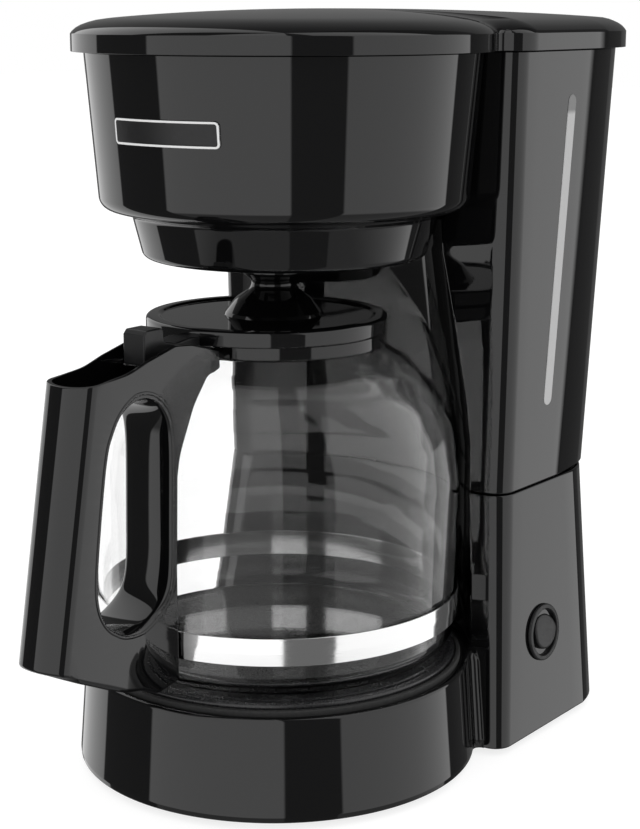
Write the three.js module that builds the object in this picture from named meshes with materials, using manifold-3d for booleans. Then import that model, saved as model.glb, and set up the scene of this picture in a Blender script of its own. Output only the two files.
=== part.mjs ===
// Twelve-cup drip coffee maker with a glass carafe on a round warming plate.
// Millimetres, +Z up. The front is -Y, and +X is the right-hand side seen from the front.
// Heights are above the surface that the feet stand on.
import * as THREE from 'three';
import { mergeVertices } from 'three/addons/utils/BufferGeometryUtils.js';
import Module from 'manifold-3d';

const wasm = await Module();
wasm.setup();

// ---------- driving dimensions ----------
// Plan positions are given from the vertical axis of the brew head. The finished group is moved
// along Y by CENTRE_SHIFT, so that the middle of the whole object's footprint is the origin.
const FRONT_Y = -142.5; // tip of the carafe handle
const GAP = 0.4; // air between pieces that touch
const WALL = 2.5; // moulded housing wall
const ROUND = 32; // sides of the large round pieces
const CARAFE_ROUND = 28; // sides of the carafe's round pieces
const SMALL_ROUND = 12; // sides of the small round pieces
const SCREW_ROUND = 8; // sides of a screw or a pipe

const CARAFE_Y = -6.3; // axis of the drum, the warming plate and the carafe

// tower sections: half width, front and rear plane, front corner radius, rear corner reach in x and y
const TOWER_TOP = { z: 293.4, half: 78.5, front: 49.6, rear: 151, frontR: 9, cornerX: 14, cornerY: 38 };
const TOWER_SEAM = { z: 110.7, half: 74.9, front: 50.6, rear: 133, frontR: 9.5, cornerX: 10, cornerY: 36 };
const BASE_SEAM = { z: 110.2, half: 74.9, front: 50.6, rear: 132.6, frontR: 9.5, cornerX: 14, cornerY: 22 };
const BASE_FOOT = { z: 3, half: 83.9, front: 39, rear: 132.6, frontR: 8, cornerX: 14, cornerY: 22 };

// outer profile of the brew head, from the rim down, as radius and height
const BOWL = [[79.5, 293.4], [76, 248.9], [74.3, 236.5], [72, 232.9], [67.7, 230.8], [62.3, 229.4],
  [58.4, 214.8], [56.1, 211.7], [53.5, 210.5]];
const BOWL_BOTTOM_Z = 210.5;
const BOWL_HOLE_R = 14;

// the bay that the carafe stands in, as radius and height about the carafe axis
const BAY_R = 82;
const BAY = [[BAY_R, 44.3], [BAY_R, 130], [80, 152], [72, 211], [71, 232]];

// blank badge on the brew head: centre and half size across and up
const BADGE = { centre: [2.2, 264.9], half: [24.8, 4.9], cornerR: 1.8 };

// water level window: bottom and top end as y and z
const WINDOW = { low: [85, 144.1], high: [95.2, 275.1], halfWidth: 3.5 };

// base drum profile, from the bottom up, as radius and height about the carafe axis
const DRUM = [[83.5, 3], [83.7, 4.5], [83.2, 16.3], [81.7, 30.8], [81.2, 40], [80.3, 43], [78.8, 44.3]];
const DRUM_LEDGE_R = 77.7;
const DRUM_LEDGE_Z = 43.2;
const PLATE_OPENING_R = 72;
const PLATE_TOP_Z = 49;
const PLATE_R = 74.8;

// main lid
const LID_R = 84.45;
const LID_BOTTOM_Z = 293.9;
const LID_RIM_Z = 300.2;
const LID_PLATFORM_Z = 305.3;
const LID_TOP_Z = 310;
const LID_HALF = 82.5;
const LID_FRONT = 45.6;
const LID_CORNER_R = 13;
const LID_REAR = TOWER_TOP.rear + 4;
const LID_INNER_Z = 302.6;
const LID_INNER_R = 75;
// hollow under the rear half of the lid
const LID_REAR_HOLLOW = { half: 75, front: 53, rear: 147, frontR: 6, cornerX: 12, cornerY: 36 };

// lid hinge
const HINGE_Y = TOWER_TOP.rear + 3.5;
const HINGE_Z = 297;
const KNUCKLE_R = 3.2;
const PIN_R = 1.3;
const PIN_HOLE_R = 1.75;
const EAR_X = [30, 38];
const KNUCKLE_X = [20, 29.4];

// carafe
const GLASS_WALL = 2.2;
const GLASS_BOTTOM_Z = 49.4;
const GLASS = [[66, GLASS_BOTTOM_Z], [71.3, 51.2], [74, 57.5], [74.8, 67.8], [75.8, 119.7],
  [75.4, 132.4], [71.5, 145.3], [67.3, 154.9], [62.7, 162.7], [54.8, 170.4], [47.7, 176.3], [43, 177.4]];
const NECK_R = 41;
const NECK_TOP_Z = 183;
const COLLAR_R = 45.5;
const BAND_Z = [64, 75.2];
const BAND_R = [75.45, 76.4];
const CARAFE_LID_Z = [183.4, 189.6];
const CARAFE_LID_R = 49;
const CARAFE_LID_Y = -12;
const CARAFE_PIN = { y: -76.5, z: 183 };

// handle
const HANDLE_HALF = 11.2;
const HANDLE_INNER_Y = -83;
const HANDLE_SLOT = { half: 9.8, y: [-121.5, -45], floorZ: 172.6 };
const LUG_SCREW_Y = -86.6;

// thumb lever of the carafe lid
const LEVER = { half: 5.4, y: [-92.2, -52], z: [179.6, 186.6], thumbY: -81, thumbZ: 193.4 };

// switch
const SWITCH_Y = 77.9;
const SWITCH_Z = 45.2;
const SWITCH_BEZEL_R = 12.5;
const ROCKER_TILT = 7; // degrees from level, either way
const ROCKER_PIVOT_DEPTH = 2;

// feet and screws
const FOOT_R = 8;
const FEET = { front: [50, -52], rear: [62, 112] };
const BASE_SCREWS = { front: [37.2, -70.9], rear: [76.3, 98] };

// water path
const PIPE_X = 34;
const PIPE_Y = 106;
const HEATER_Z = 40.6;
const HEATER_TUBE_R = 6.5;
const LEG_END_Y = 50;
const RISER_FOOT_Z = 102; // lower end of the riser
const TANK_FLOOR_Z = 124.5;
const TANK_WALL = 1.6;
const TANK_BASE = 2;
const TANK_TOP_Z = 292.6;

// tray under the lid that spreads the hot water over the basket
const TRAY = { r: 58, z: 296.6, top: 302, channelHalf: 12, channelEnd: 100, wall: 1.6 };
const TRAY_SCREWS = { front: [0, -48], rear: [0, 72] };

// drip stop in the floor of the basket
const DRIP_CAP = { r: 12, low: 219.9, high: 236 };

// cord gland in the rear wall
const GLAND = { x: -45, z: 22 };

const REAR_Y = HINGE_Y + KNUCKLE_R;
const CENTRE_SHIFT = -(FRONT_Y + REAR_Y) / 2;

// ---------- finishes ----------
const finish = (color, roughness, metalness = 0, opacity = 1) =>
  new THREE.MeshStandardMaterial({ color, roughness, metalness, opacity, transparent: opacity < 1 });
const GLOSS_BLACK = finish(0x0b0b0c, 0.12);
const SATIN_BLACK = finish(0x141415, 0.45);
const INNER_GREY = finish(0x3a3b3d, 0.4);
const CLEAR_GLASS = finish(0xdfe6e6, 0.03, 0, 0.3);
const CLEAR_STRIP = finish(0xc4c6c6, 0.3);
const POLISHED_STEEL = finish(0xc8c9cb, 0.12, 1);
const PLAIN_STEEL = finish(0x9a9c9f, 0.35, 1);
const ALUMINIUM = finish(0xb4b6b8, 0.4, 1);
const RUBBER_BLACK = finish(0x1a1a1a, 0.9);
const SILICONE = finish(0xd8d4cc, 0.6);
const PLATE_BLACK = finish(0x161616, 0.35, 0.2);
const PHENOLIC = finish(0x5a3a26, 0.6);

// ---------- geometry helpers ----------
function signedVolume(geometry) {
  const p = geometry.attributes.position;
  const index = geometry.index;
  const [a, b, c] = [new THREE.Vector3(), new THREE.Vector3(), new THREE.Vector3()];
  let volume = 0;
  for (let i = 0; i < index.count; i += 3) {
    a.fromBufferAttribute(p, index.getX(i));
    b.fromBufferAttribute(p, index.getX(i + 1));
    c.fromBufferAttribute(p, index.getX(i + 2));
    volume += a.dot(b.cross(c)) / 6;
  }
  return volume;
}

// merges shared vertices, drops collapsed triangles and turns every face outwards
function closed(geometry) {
  const bare = geometry.clone();
  bare.deleteAttribute('normal');
  bare.deleteAttribute('uv');
  const merged = mergeVertices(bare, 1e-3);
  const kept = [];
  for (let i = 0; i < merged.index.count; i += 3) {
    const [a, b, c] = [0, 1, 2].map((n) => merged.index.getX(i + n));
    if (a !== b && b !== c && c !== a) kept.push(a, b, c);
  }
  merged.setIndex(kept);
  if (signedVolume(merged) < 0) {
    for (let i = 0; i < kept.length; i += 3) [kept[i], kept[i + 1]] = [kept[i + 1], kept[i]];
    merged.setIndex(kept);
  }
  return merged;
}

function solid(geometry) {
  const tidy = closed(geometry);
  return new wasm.Manifold(new wasm.Mesh({
    numProp: 3,
    vertProperties: new Float32Array(tidy.attributes.position.array),
    triVerts: new Uint32Array(tidy.index.array),
  }));
}

function surface(manifold) {
  const mesh = manifold.getMesh();
  const geometry = new THREE.BufferGeometry();
  geometry.setAttribute('position', new THREE.BufferAttribute(new Float32Array(mesh.vertProperties), 3));
  geometry.setIndex(new THREE.BufferAttribute(new Uint32Array(mesh.triVerts), 1));
  return geometry;
}

// turns [radius, z] points about a vertical axis at (x, y)
function turned(points, { x = 0, y = 0, sides = ROUND } = {}) {
  const profile = points.map(([r, z]) => new THREE.Vector2(r, z));
  if (points[0][0] > 0 || points.at(-1)[0] > 0) profile.push(profile[0].clone());
  const geometry = new THREE.LatheGeometry(profile, sides);
  geometry.rotateX(Math.PI / 2);
  return geometry.translate(x, y, 0);
}

// a round bar along X or Z
function bar(axis, radius, from, to, centre, sides = SMALL_ROUND) {
  const geometry = new THREE.CylinderGeometry(radius, radius, to - from, sides);
  const middle = (from + to) / 2;
  if (axis === 'x') return geometry.rotateZ(Math.PI / 2).translate(middle, centre[0], centre[1]);
  return geometry.rotateX(Math.PI / 2).translate(centre[0], centre[1], middle);
}

function block([x0, x1], [y0, y1], [z0, z1]) {
  return new THREE.BoxGeometry(x1 - x0, y1 - y0, z1 - z0)
    .translate((x0 + x1) / 2, (y0 + y1) / 2, (z0 + z1) / 2);
}

// joins rings of the same number of points, and closes the first and the last with a flat cap
function loft(rings) {
  const count = rings[0].length;
  const corners = [];
  const point = (ring, i) => rings[ring][i % count];
  for (let ring = 0; ring + 1 < rings.length; ring += 1) {
    for (let i = 0; i < count; i += 1) {
      const [a, b, c, d] = [point(ring, i), point(ring, i + 1), point(ring + 1, i + 1), point(ring + 1, i)];
      corners.push(a, b, c, a, c, d);
    }
  }
  const flat = rings[0].map(([x, y]) => new THREE.Vector2(x, y));
  for (const [a, b, c] of THREE.ShapeUtils.triangulateShape(flat, [])) {
    corners.push(point(0, c), point(0, b), point(0, a));
    const last = rings.length - 1;
    corners.push(point(last, a), point(last, b), point(last, c));
  }
  const geometry = new THREE.BufferGeometry();
  geometry.setAttribute('position', new THREE.Float32BufferAttribute(corners.flat(), 3));
  return geometry;
}

// plan outline of a tower section, anticlockwise from the front right corner
function sectionRing(section, inset, cornerSteps = 4) {
  const { z, half, front, rear, frontR, cornerX, cornerY } = section;
  const w = half - inset;
  const rx = Math.max(cornerX - inset, 1);
  const ry = Math.max(cornerY - inset, 1);
  const fr = Math.max(frontR - inset, 0.6);
  const ring = [];
  const arc = (cx, cy, ax, ay, startDegrees) => {
    for (let i = 0; i <= cornerSteps; i += 1) {
      const t = THREE.MathUtils.degToRad(startDegrees + 90 * i / cornerSteps);
      ring.push([cx + ax * Math.cos(t), cy + ay * Math.sin(t), z]);
    }
  };
  arc(w - fr, front + inset + fr, fr, fr, -90);
  arc(w - rx, rear - inset - ry, rx, ry, 0);
  arc(-w + rx, rear - inset - ry, rx, ry, 90);
  arc(-w + fr, front + inset + fr, fr, fr, 180);
  return ring;
}

// the section between two others at height z
function sectionAt(low, high, z) {
  const t = (z - low.z) / (high.z - low.z);
  return Object.fromEntries(Object.keys(low).map((key) => [key, low[key] + (high[key] - low[key]) * t]));
}

const towerLoft = (low, high, inset, z0 = low.z, z1 = high.z) =>
  loft([sectionRing(sectionAt(low, high, z0), inset), sectionRing(sectionAt(low, high, z1), inset)]);

const grown = (profile, by) => profile.map(([r, z]) => [r + by, z]);
const toAxis = (profile) => [[0, profile[0][1]], ...profile, [0, profile.at(-1)[1]]];

// a tube along a curve, hollow when innerR is given
function tube(path, outerR, innerR, steps, sides = SCREW_ROUND) {
  const section = new THREE.Shape();
  section.absarc(0, 0, outerR, 0, Math.PI * 2);
  if (innerR) section.holes.push(new THREE.Path().absarc(0, 0, innerR, 0, Math.PI * 2, true));
  return new THREE.ExtrudeGeometry(section,
    { steps, extrudePath: path, curveSegments: sides / 2, bevelEnabled: false });
}

const curveThrough = (points) =>
  new THREE.CatmullRomCurve3(points.map((p) => new THREE.Vector3(...p)), false, 'centripetal');

// ---------- assembly ----------
const coffeeMaker = new THREE.Group();
coffeeMaker.position.y = CENTRE_SHIFT;

function add(name, shape, material, parent = coffeeMaker) {
  const geometry = shape instanceof wasm.Manifold ? surface(shape) : closed(shape);
  const mesh = new THREE.Mesh(geometry, material);
  mesh.name = name;
  parent.add(mesh);
  return mesh;
}

// ---------- shared cutting shapes ----------
// the space of the carafe bay and of the brew head, grown by a margin
function bayAndBowl(margin) {
  const bay = grown(BAY, margin).map(([r, z], i) => [r, i === 0 ? z - margin : z]);
  const bowlTop = [[BOWL[0][0], BOWL[0][1] + 12], ...BOWL.slice(0, 6)].reverse();
  const bowl = grown(bowlTop, margin + GAP).map(([r, z], i) => [r, i < 4 ? z - margin - GAP : z]);
  return solid(turned(toAxis(bay), { y: CARAFE_Y })).add(solid(turned(toAxis(bowl))));
}

// ---------- brew head and tower ----------
function makeBrewHead() {
  const inner = grown(BOWL.slice(0, 3), -WALL).map(([r, z], i) => [r, i === 2 ? z + 2 : z]);
  const floor = [[69.2, 235.2], [59.6, 231.2], [56, 216], [53, 213.2]];
  const profile = [[BOWL_HOLE_R, BOWL_BOTTOM_Z], ...BOWL.slice().reverse(), ...inner, ...floor,
    [BOWL_HOLE_R, 213.2]];
  add('brew_head_shell', turned(profile), GLOSS_BLACK);
}

function makeTower() {
  const outer = solid(towerLoft(TOWER_SEAM, TOWER_TOP, 0));
  const cavity = solid(towerLoft(TOWER_SEAM, TOWER_TOP, WALL, TOWER_SEAM.z - 1, TOWER_TOP.z + 1));
  let shell = outer.subtract(bayAndBowl(0)).subtract(cavity.subtract(bayAndBowl(WALL)));
  for (const side of [-1, 1]) {
    const [x0, x1] = EAR_X.map((x) => x * side).sort((a, b) => a - b);
    const ear = solid(block([x0, x1], [TOWER_TOP.rear - 1.6, HINGE_Y], [284, LID_RIM_Z]))
      .add(solid(bar('x', KNUCKLE_R, x0, x1, [HINGE_Y, HINGE_Z])))
      .add(solid(block([x0, x1], [TOWER_TOP.rear - 1.6, HINGE_Y + 1], [284, HINGE_Z - 1])));
    shell = shell.add(ear).subtract(solid(bar('x', PIN_HOLE_R, x0 - 1, x1 + 1, [HINGE_Y, HINGE_Z])));
  }
  shell = shell.subtract(solid(windowShape(0.35, 8)));
  add('tower_shell', shell, GLOSS_BLACK);
}

// upright slot for the water level window: it leans with the rear edge of the tower
function windowShape(margin, depth) {
  const [[y0, z0], [y1, z1]] = [WINDOW.low, WINDOW.high];
  const lean = Math.atan2(y1 - y0, z1 - z0);
  const length = Math.hypot(y1 - y0, z1 - z0);
  const r = WINDOW.halfWidth + margin;
  const outline = new THREE.Shape();
  outline.absarc(0, length - WINDOW.halfWidth, r, 0, Math.PI);
  outline.absarc(0, WINDOW.halfWidth, r, Math.PI, Math.PI * 2);
  const strip = new THREE.ExtrudeGeometry(outline, { depth, bevelEnabled: false, curveSegments: 8 });
  // the outline lies in the XY plane: stand it up so that its length runs along Z and its depth along X
  strip.rotateX(Math.PI / 2).rotateZ(Math.PI / 2).rotateX(-lean);
  return strip.translate(TOWER_TOP.half - depth + 1, y0, z0);
}

function makeWindow() {
  const flush = solid(towerLoft(TOWER_SEAM, TOWER_TOP, 0));
  add('level_window', solid(windowShape(0, 3.4 + 1)).intersect(flush), CLEAR_STRIP);
}

function makeTank() {
  const clear = WALL + GAP;
  const inside = clear + TANK_WALL;
  const lowZ = TANK_FLOOR_Z;
  const outer = solid(towerLoft(TOWER_SEAM, TOWER_TOP, clear, lowZ, TANK_TOP_Z)).subtract(bayAndBowl(clear));
  const inner = solid(towerLoft(TOWER_SEAM, TOWER_TOP, inside, lowZ + TANK_BASE, TANK_TOP_Z + 3))
    .subtract(bayAndBowl(inside));
  const tank = outer.subtract(inner)
    .subtract(solid(windowShape(1, 8)))
    .subtract(solid(bar('z', 6.6, lowZ - 2, lowZ + 5, [-PIPE_X, PIPE_Y])))
    .subtract(solid(bar('z', 7, lowZ - 2, lowZ + 5, [PIPE_X, PIPE_Y])));
  add('water_tank', tank, INNER_GREY);
}

function makeBadge() {
  const face = [[79.2, 284], [77.5, 266.7], [76, 248.9], [75.4, 240]];
  const skin = turned([...grown(face, 1.2), ...grown(face, 0.35).reverse()], { sides: 96 });
  const { centre, half: [a, b], cornerR } = BADGE;
  const plate = new THREE.Shape();
  plate.absarc(a - cornerR, b - cornerR, cornerR, 0, Math.PI / 2);
  plate.absarc(cornerR - a, b - cornerR, cornerR, Math.PI / 2, Math.PI);
  plate.absarc(cornerR - a, cornerR - b, cornerR, Math.PI, Math.PI * 1.5);
  plate.absarc(a - cornerR, cornerR - b, cornerR, -Math.PI / 2, 0);
  const cutter = new THREE.ExtrudeGeometry(plate, { depth: 30, bevelEnabled: false, curveSegments: 3 });
  cutter.rotateX(Math.PI / 2).translate(centre[0], -60, centre[1]);
  add('front_badge', solid(skin).intersect(solid(cutter)), SATIN_BLACK);
}

// ---------- main lid ----------
function makeLid() {
  const rise = [[0, LID_BOTTOM_Z], [0, LID_RIM_Z], [2.4, LID_RIM_Z + 0.5], [9, LID_PLATFORM_Z],
    [34, 308.4], [62, 309.7]];
  const round = turned([[0, LID_BOTTOM_Z], ...rise.map(([inset, z]) => [LID_R - inset, z]), [0, LID_TOP_Z]]);
  const plan = { half: LID_HALF, front: LID_FRONT, rear: LID_REAR, frontR: LID_CORNER_R, cornerX: 16,
    cornerY: 40 };
  const rear = loft(rise.slice(0, 5).map(([inset, z]) => sectionRing({ ...plan, z }, inset)));
  const hollow = solid(turned([[0, 292], [LID_INNER_R, 292], [LID_INNER_R, LID_INNER_Z - 2],
    [LID_INNER_R - 3, LID_INNER_Z], [0, LID_INNER_Z]]));
  const rearHollow = loft([292, LID_INNER_Z].map((z) => sectionRing({ ...LID_REAR_HOLLOW, z }, 0)));
  let lid = solid(round).add(solid(rear)).subtract(hollow).subtract(solid(rearHollow));
  for (const side of [-1, 1]) {
    const span = (pair) => pair.map((x) => x * side).sort((a, b) => a - b);
    const [ear0, ear1] = span(EAR_X);
    const [k0, k1] = span(KNUCKLE_X);
    lid = lid
      .subtract(solid(block([ear0 - 0.5, ear1 + 0.5], [TOWER_TOP.rear - 3.5, 170], [290, 320])))
      .add(solid(bar('x', KNUCKLE_R, k0, k1, [HINGE_Y, HINGE_Z])))
      .subtract(solid(bar('x', PIN_HOLE_R, k0 - 1, k1 + 1, [HINGE_Y, HINGE_Z])));
  }
  add('main_lid', lid, GLOSS_BLACK);
  for (const [name, side] of [['left', -1], ['right', 1]]) {
    const [x0, x1] = [KNUCKLE_X[0] + 0.5, EAR_X[1] - 0.5].map((x) => x * side).sort((a, b) => a - b);
    add(`lid_hinge_pin_${name}`, bar('x', PIN_R, x0, x1, [HINGE_Y, HINGE_Z]), PLAIN_STEEL);
  }
}

function makeTray() {
  const { r, z, top, channelHalf, channelEnd, wall } = TRAY;
  const disc = (radius, low) => solid(turned([[0, low], [radius, low], [radius, top], [0, top]],
    { sides: 24 }));
  const channel = (w, end, low) => solid(block([-w, w], [0, end], [low, top]));
  const outside = disc(r, z).add(channel(channelHalf, channelEnd, z));
  const inside = disc(r - wall, z + wall).add(channel(channelHalf - wall, channelEnd - wall, z + wall));
  let tray = outside.subtract(inside).subtract(solid(bar('z', 6.5, z - 2, z + 4, [0, 91])));
  for (const [radius, count] of [[14, 4], [32, 6]]) {
    for (let i = 0; i < count; i += 1) {
      const t = (i / count) * Math.PI * 2;
      tray = tray.subtract(solid(bar('z', 2, z - 2, z + 4, [radius * Math.cos(t), radius * Math.sin(t)], 6)));
    }
  }
  for (const place of Object.values(TRAY_SCREWS)) {
    tray = tray.subtract(solid(bar('z', 2, z - 2, z + 4, place)));
  }
  add('shower_tray', tray, SATIN_BLACK);
  for (const [name, place] of Object.entries(TRAY_SCREWS)) {
    add(`tray_screw_${name}`, screw(place, z - 1.6, z - GAP, 301.8, 3, 1.5), PLAIN_STEEL);
  }
}

// ---------- base ----------
function screw([x, y], headLow, headHigh, tip, headR, shankR) {
  const profile = [[0, headLow], [headR - 0.7, headLow], [headR, headLow + 0.7], [headR, headHigh],
    [shankR, headHigh], [shankR, tip], [0, tip]];
  return turned(profile, { x, y, sides: SCREW_ROUND });
}

const bothSides = (places) => Object.entries(places).flatMap(([row, [x, y]]) =>
  [[`${row}_left`, [-x, y]], [`${row}_right`, [x, y]]]);

function makeHousing() {
  const bay = (margin) => solid(turned(toAxis([[BAY_R + margin, BAY[0][1] - margin], [BAY_R + margin, 140]]),
    { y: CARAFE_Y }));
  const drumSkin = [...DRUM, [DRUM_LEDGE_R, 44.3], [DRUM_LEDGE_R, DRUM_LEDGE_Z]];
  const drum = solid(turned(toAxis(drumSkin), { y: CARAFE_Y }));
  const outer = solid(towerLoft(BASE_FOOT, BASE_SEAM, 0)).subtract(bay(0)).add(drum);
  const drumInside = [...grown(DRUM.slice(1, 5), -WALL), [77.5, 41]];
  const hollow = solid(towerLoft(BASE_FOOT, BASE_SEAM, WALL, 2, 112)).subtract(bay(WALL))
    .add(solid(turned(toAxis([[81, 2], ...drumInside]), { y: CARAFE_Y })));
  let housing = outer.subtract(hollow);
  for (const [, place] of bothSides(BASE_SCREWS)) {
    const post = solid(bar('z', 4.6, 6.2, place[1] < 0 ? 42 : 30, place, 16)).intersect(outer);
    housing = housing.add(post).subtract(solid(bar('z', 2.2, 5, 26, place)));
  }
  housing = housing
    .subtract(solid(bar('z', PLATE_OPENING_R, 38, 46, [0, CARAFE_Y], ROUND)))
    .subtract(solid(bar('z', DRUM_LEDGE_R, DRUM_LEDGE_Z, 46, [0, CARAFE_Y], ROUND)))
    .subtract(solid(switchTurned([[0, -6], [10.9, -6], [10.9, 4], [0, 4]])))
    .subtract(solid(rearBore(6.5)));
  add('lower_housing', housing, GLOSS_BLACK);
}

function rearBore(radius) {
  return new THREE.CylinderGeometry(radius, radius, 16, SMALL_ROUND)
    .translate(GLAND.x, BASE_FOOT.rear, GLAND.z);
}

function makeGland() {
  const wallY = BASE_FOOT.rear;
  const inside = -WALL - GAP;
  const profile = [[3.8, -6.5], [7.6, -6.5], [7.6, inside], [6.1, inside], [6.1, GAP], [8.6, GAP], [8, 2.2],
    [3.8, 2.2]];
  const path = [...profile, profile[0]].map(([r, y]) => new THREE.Vector2(r, y));
  const ring = new THREE.LatheGeometry(path, SMALL_ROUND);
  add('cord_gland', ring.translate(GLAND.x, wallY, GLAND.z), SATIN_BLACK);
}

function makeBottomCover() {
  const inset = WALL + GAP;
  const [low, high] = [3.2, 5.4];
  const disc = solid(turned(toAxis([[81 - GAP, low], [81 - GAP, high]]), { y: CARAFE_Y }));
  let cover = solid(towerLoft(BASE_FOOT, BASE_SEAM, inset, low, high)).add(disc);
  for (const [, place] of bothSides(BASE_SCREWS)) {
    cover = cover.subtract(solid(bar('z', 2.4, 0, 8, place)));
  }
  for (let i = -2; i <= 2; i += 1) {
    cover = cover.subtract(solid(block([i * 12 - 2, i * 12 + 2], [-34, 14], [0, 8])));
    cover = cover.subtract(solid(block([i * 12 - 2, i * 12 + 2], [78, 108], [0, 8])));
  }
  add('bottom_cover', cover, SATIN_BLACK);
  for (const [name, [x, y]] of bothSides(FEET)) {
    const foot = [[0, 0], [FOOT_R - 0.8, 0], [FOOT_R, 0.8], [FOOT_R, 2.8], [0, 2.8]];
    add(`foot_${name}`, turned(foot, { x, y, sides: SMALL_ROUND }), RUBBER_BLACK);
  }
  for (const [name, place] of bothSides(BASE_SCREWS)) {
    add(`base_screw_${name}`, screw(place, 1, 2.8, 20, 3.6, 1.8), PLAIN_STEEL);
  }
}

// ---------- warming plate and heater ----------
function makePlate() {
  const boss = 4.2;
  const under = PLATE_TOP_Z - 1.5;
  const profile = [[0, PLATE_TOP_Z], [72, PLATE_TOP_Z], [74.2, 48.2], [PLATE_R, 46.8], [PLATE_R, 45.4],
    [73.2, 45.4], [73.2, 46.6], [71.4, under], [boss, under], [boss, 36], [1.9, 36], [1.9, 45], [0, 45]];
  add('warming_plate', turned(profile, { y: CARAFE_Y }), PLATE_BLACK);
  const ring = [[73, 43.6], [77.3, 43.6], [77.3, 46.2], [76.8, 46.6], [75.3, 46.6], [75.3, 44.9], [73, 44.9]];
  add('plate_seal', turned(ring, { y: CARAFE_Y }), RUBBER_BLACK);
}

class HorseshoePath extends THREE.Curve {
  // two straight legs joined by a half circle towards the front
  getPoint(t) {
    const leg = LEG_END_Y - CARAFE_Y;
    const arc = Math.PI * PIPE_X;
    const s = t * (2 * leg + arc);
    if (s < leg) return new THREE.Vector3(-PIPE_X, LEG_END_Y - s, HEATER_Z);
    if (s > leg + arc) return new THREE.Vector3(PIPE_X, CARAFE_Y + (s - leg - arc), HEATER_Z);
    const angle = Math.PI + (s - leg) / PIPE_X;
    return new THREE.Vector3(PIPE_X * Math.cos(angle), CARAFE_Y + PIPE_X * Math.sin(angle), HEATER_Z);
  }
}

function makeHeater() {
  const element = solid(tube(new HorseshoePath(), HEATER_TUBE_R, 0, 20));
  const nipple = (x) => solid(tube(new THREE.LineCurve3(
    new THREE.Vector3(x, LEG_END_Y - 3, HEATER_Z - 1), new THREE.Vector3(x, LEG_END_Y + 14, 27)), 4, 0, 1));
  add('heating_element', element.add(nipple(-PIPE_X)).add(nipple(PIPE_X)), ALUMINIUM);
  const bracket = solid(block([-44, 44], [CARAFE_Y - 7, CARAFE_Y + 7], [31.8, 33.3]))
    .subtract(solid(bar('z', 2.2, 30, 36, [0, CARAFE_Y])));
  add('heater_bracket', bracket, PLAIN_STEEL);
  add('bracket_screw', screw([0, CARAFE_Y], 29, 31.4, 44, 3.4, 1.5), PLAIN_STEEL);
  const thermostat = [[0, 38], [8, 38], [8, 45.4], [6, 47], [0, 47]];
  add('thermostat', turned(thermostat, { y: 22, sides: SMALL_ROUND }), PHENOLIC);
  add('thermal_fuse', bar('x', 2.2, -12, 12, [-24, 44.8], 12), SILICONE);
}

// ---------- water path ----------
function makeWaterPath() {
  const valve = [[2.8, 101], [4.2, 101], [4.2, 113], [6.2, 113], [6.2, TANK_FLOOR_Z + 2 + GAP],
    [9.5, TANK_FLOOR_Z + 2 + GAP], [9.5, 128.7], [2.8, 128.7]];
  add('check_valve', turned(valve, { x: -PIPE_X, y: PIPE_Y, sides: SCREW_ROUND }), SATIN_BLACK);
  const grommet = [[4.7, 123.2], [9, 123.2], [9, TANK_FLOOR_Z - GAP], [6.6, TANK_FLOOR_Z - GAP],
    [6.6, TANK_FLOOR_Z + 2 + GAP], [9, TANK_FLOOR_Z + 2 + GAP], [9, 128.3], [4.7, 128.3]];
  add('riser_grommet', turned(grommet, { x: PIPE_X, y: PIPE_Y, sides: SCREW_ROUND }), SILICONE);
  for (const [name, side] of [['cold_hose', -1], ['hot_hose', 1]]) {
    const x = side * PIPE_X;
    const hose = curveThrough([[x, PIPE_Y, 112.4], [x, PIPE_Y, 98], [x, 105, 78], [x, 100, 52], [x, 88, 31],
      [x, 74, 22.5], [x, LEG_END_Y + 10, 30]]);
    add(name, tube(hose, 6.6, 4.7, 10), SILICONE);
  }
  const riser = curveThrough([[PIPE_X, PIPE_Y, RISER_FOOT_Z], [PIPE_X, PIPE_Y, 180], [PIPE_X, PIPE_Y, 262],
    [32, 105, 277], [22, 100, 284.5], [9, 94.5, 286.5], [1.6, 91.6, 288.5], [0, 91, 294.6]]);
  add('riser_tube', tube(riser, 4.2, 3, 14), PLAIN_STEEL);
}

// ---------- brew basket and drip stop ----------
function makeBasket() {
  const outside = [[6, 212.5], [8.5, 212.5], [8.5, 217.5], [50, 217.5], [52, 218.8], [54.8, 224], [56, 233.6],
    [57.5, 234.9], [64.5, 236.6], [65.5, 240], [67.5, 283.5], [70.5, 283.5], [70.5, 286]];
  const inside = [[65.8, 286], [63.8, 241], [62.9, 238.4], [54.3, 235.6], [53, 224.8], [50.2, 219.5],
    [6, 219.5]];
  const cup = solid(turned([...outside, ...inside], { sides: 24 }));
  const tab = solid(block([-13, 13], [-71.4, -68.4], [284, 291]));
  add('filter_basket', cup.add(tab), SATIN_BLACK);
}

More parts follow.
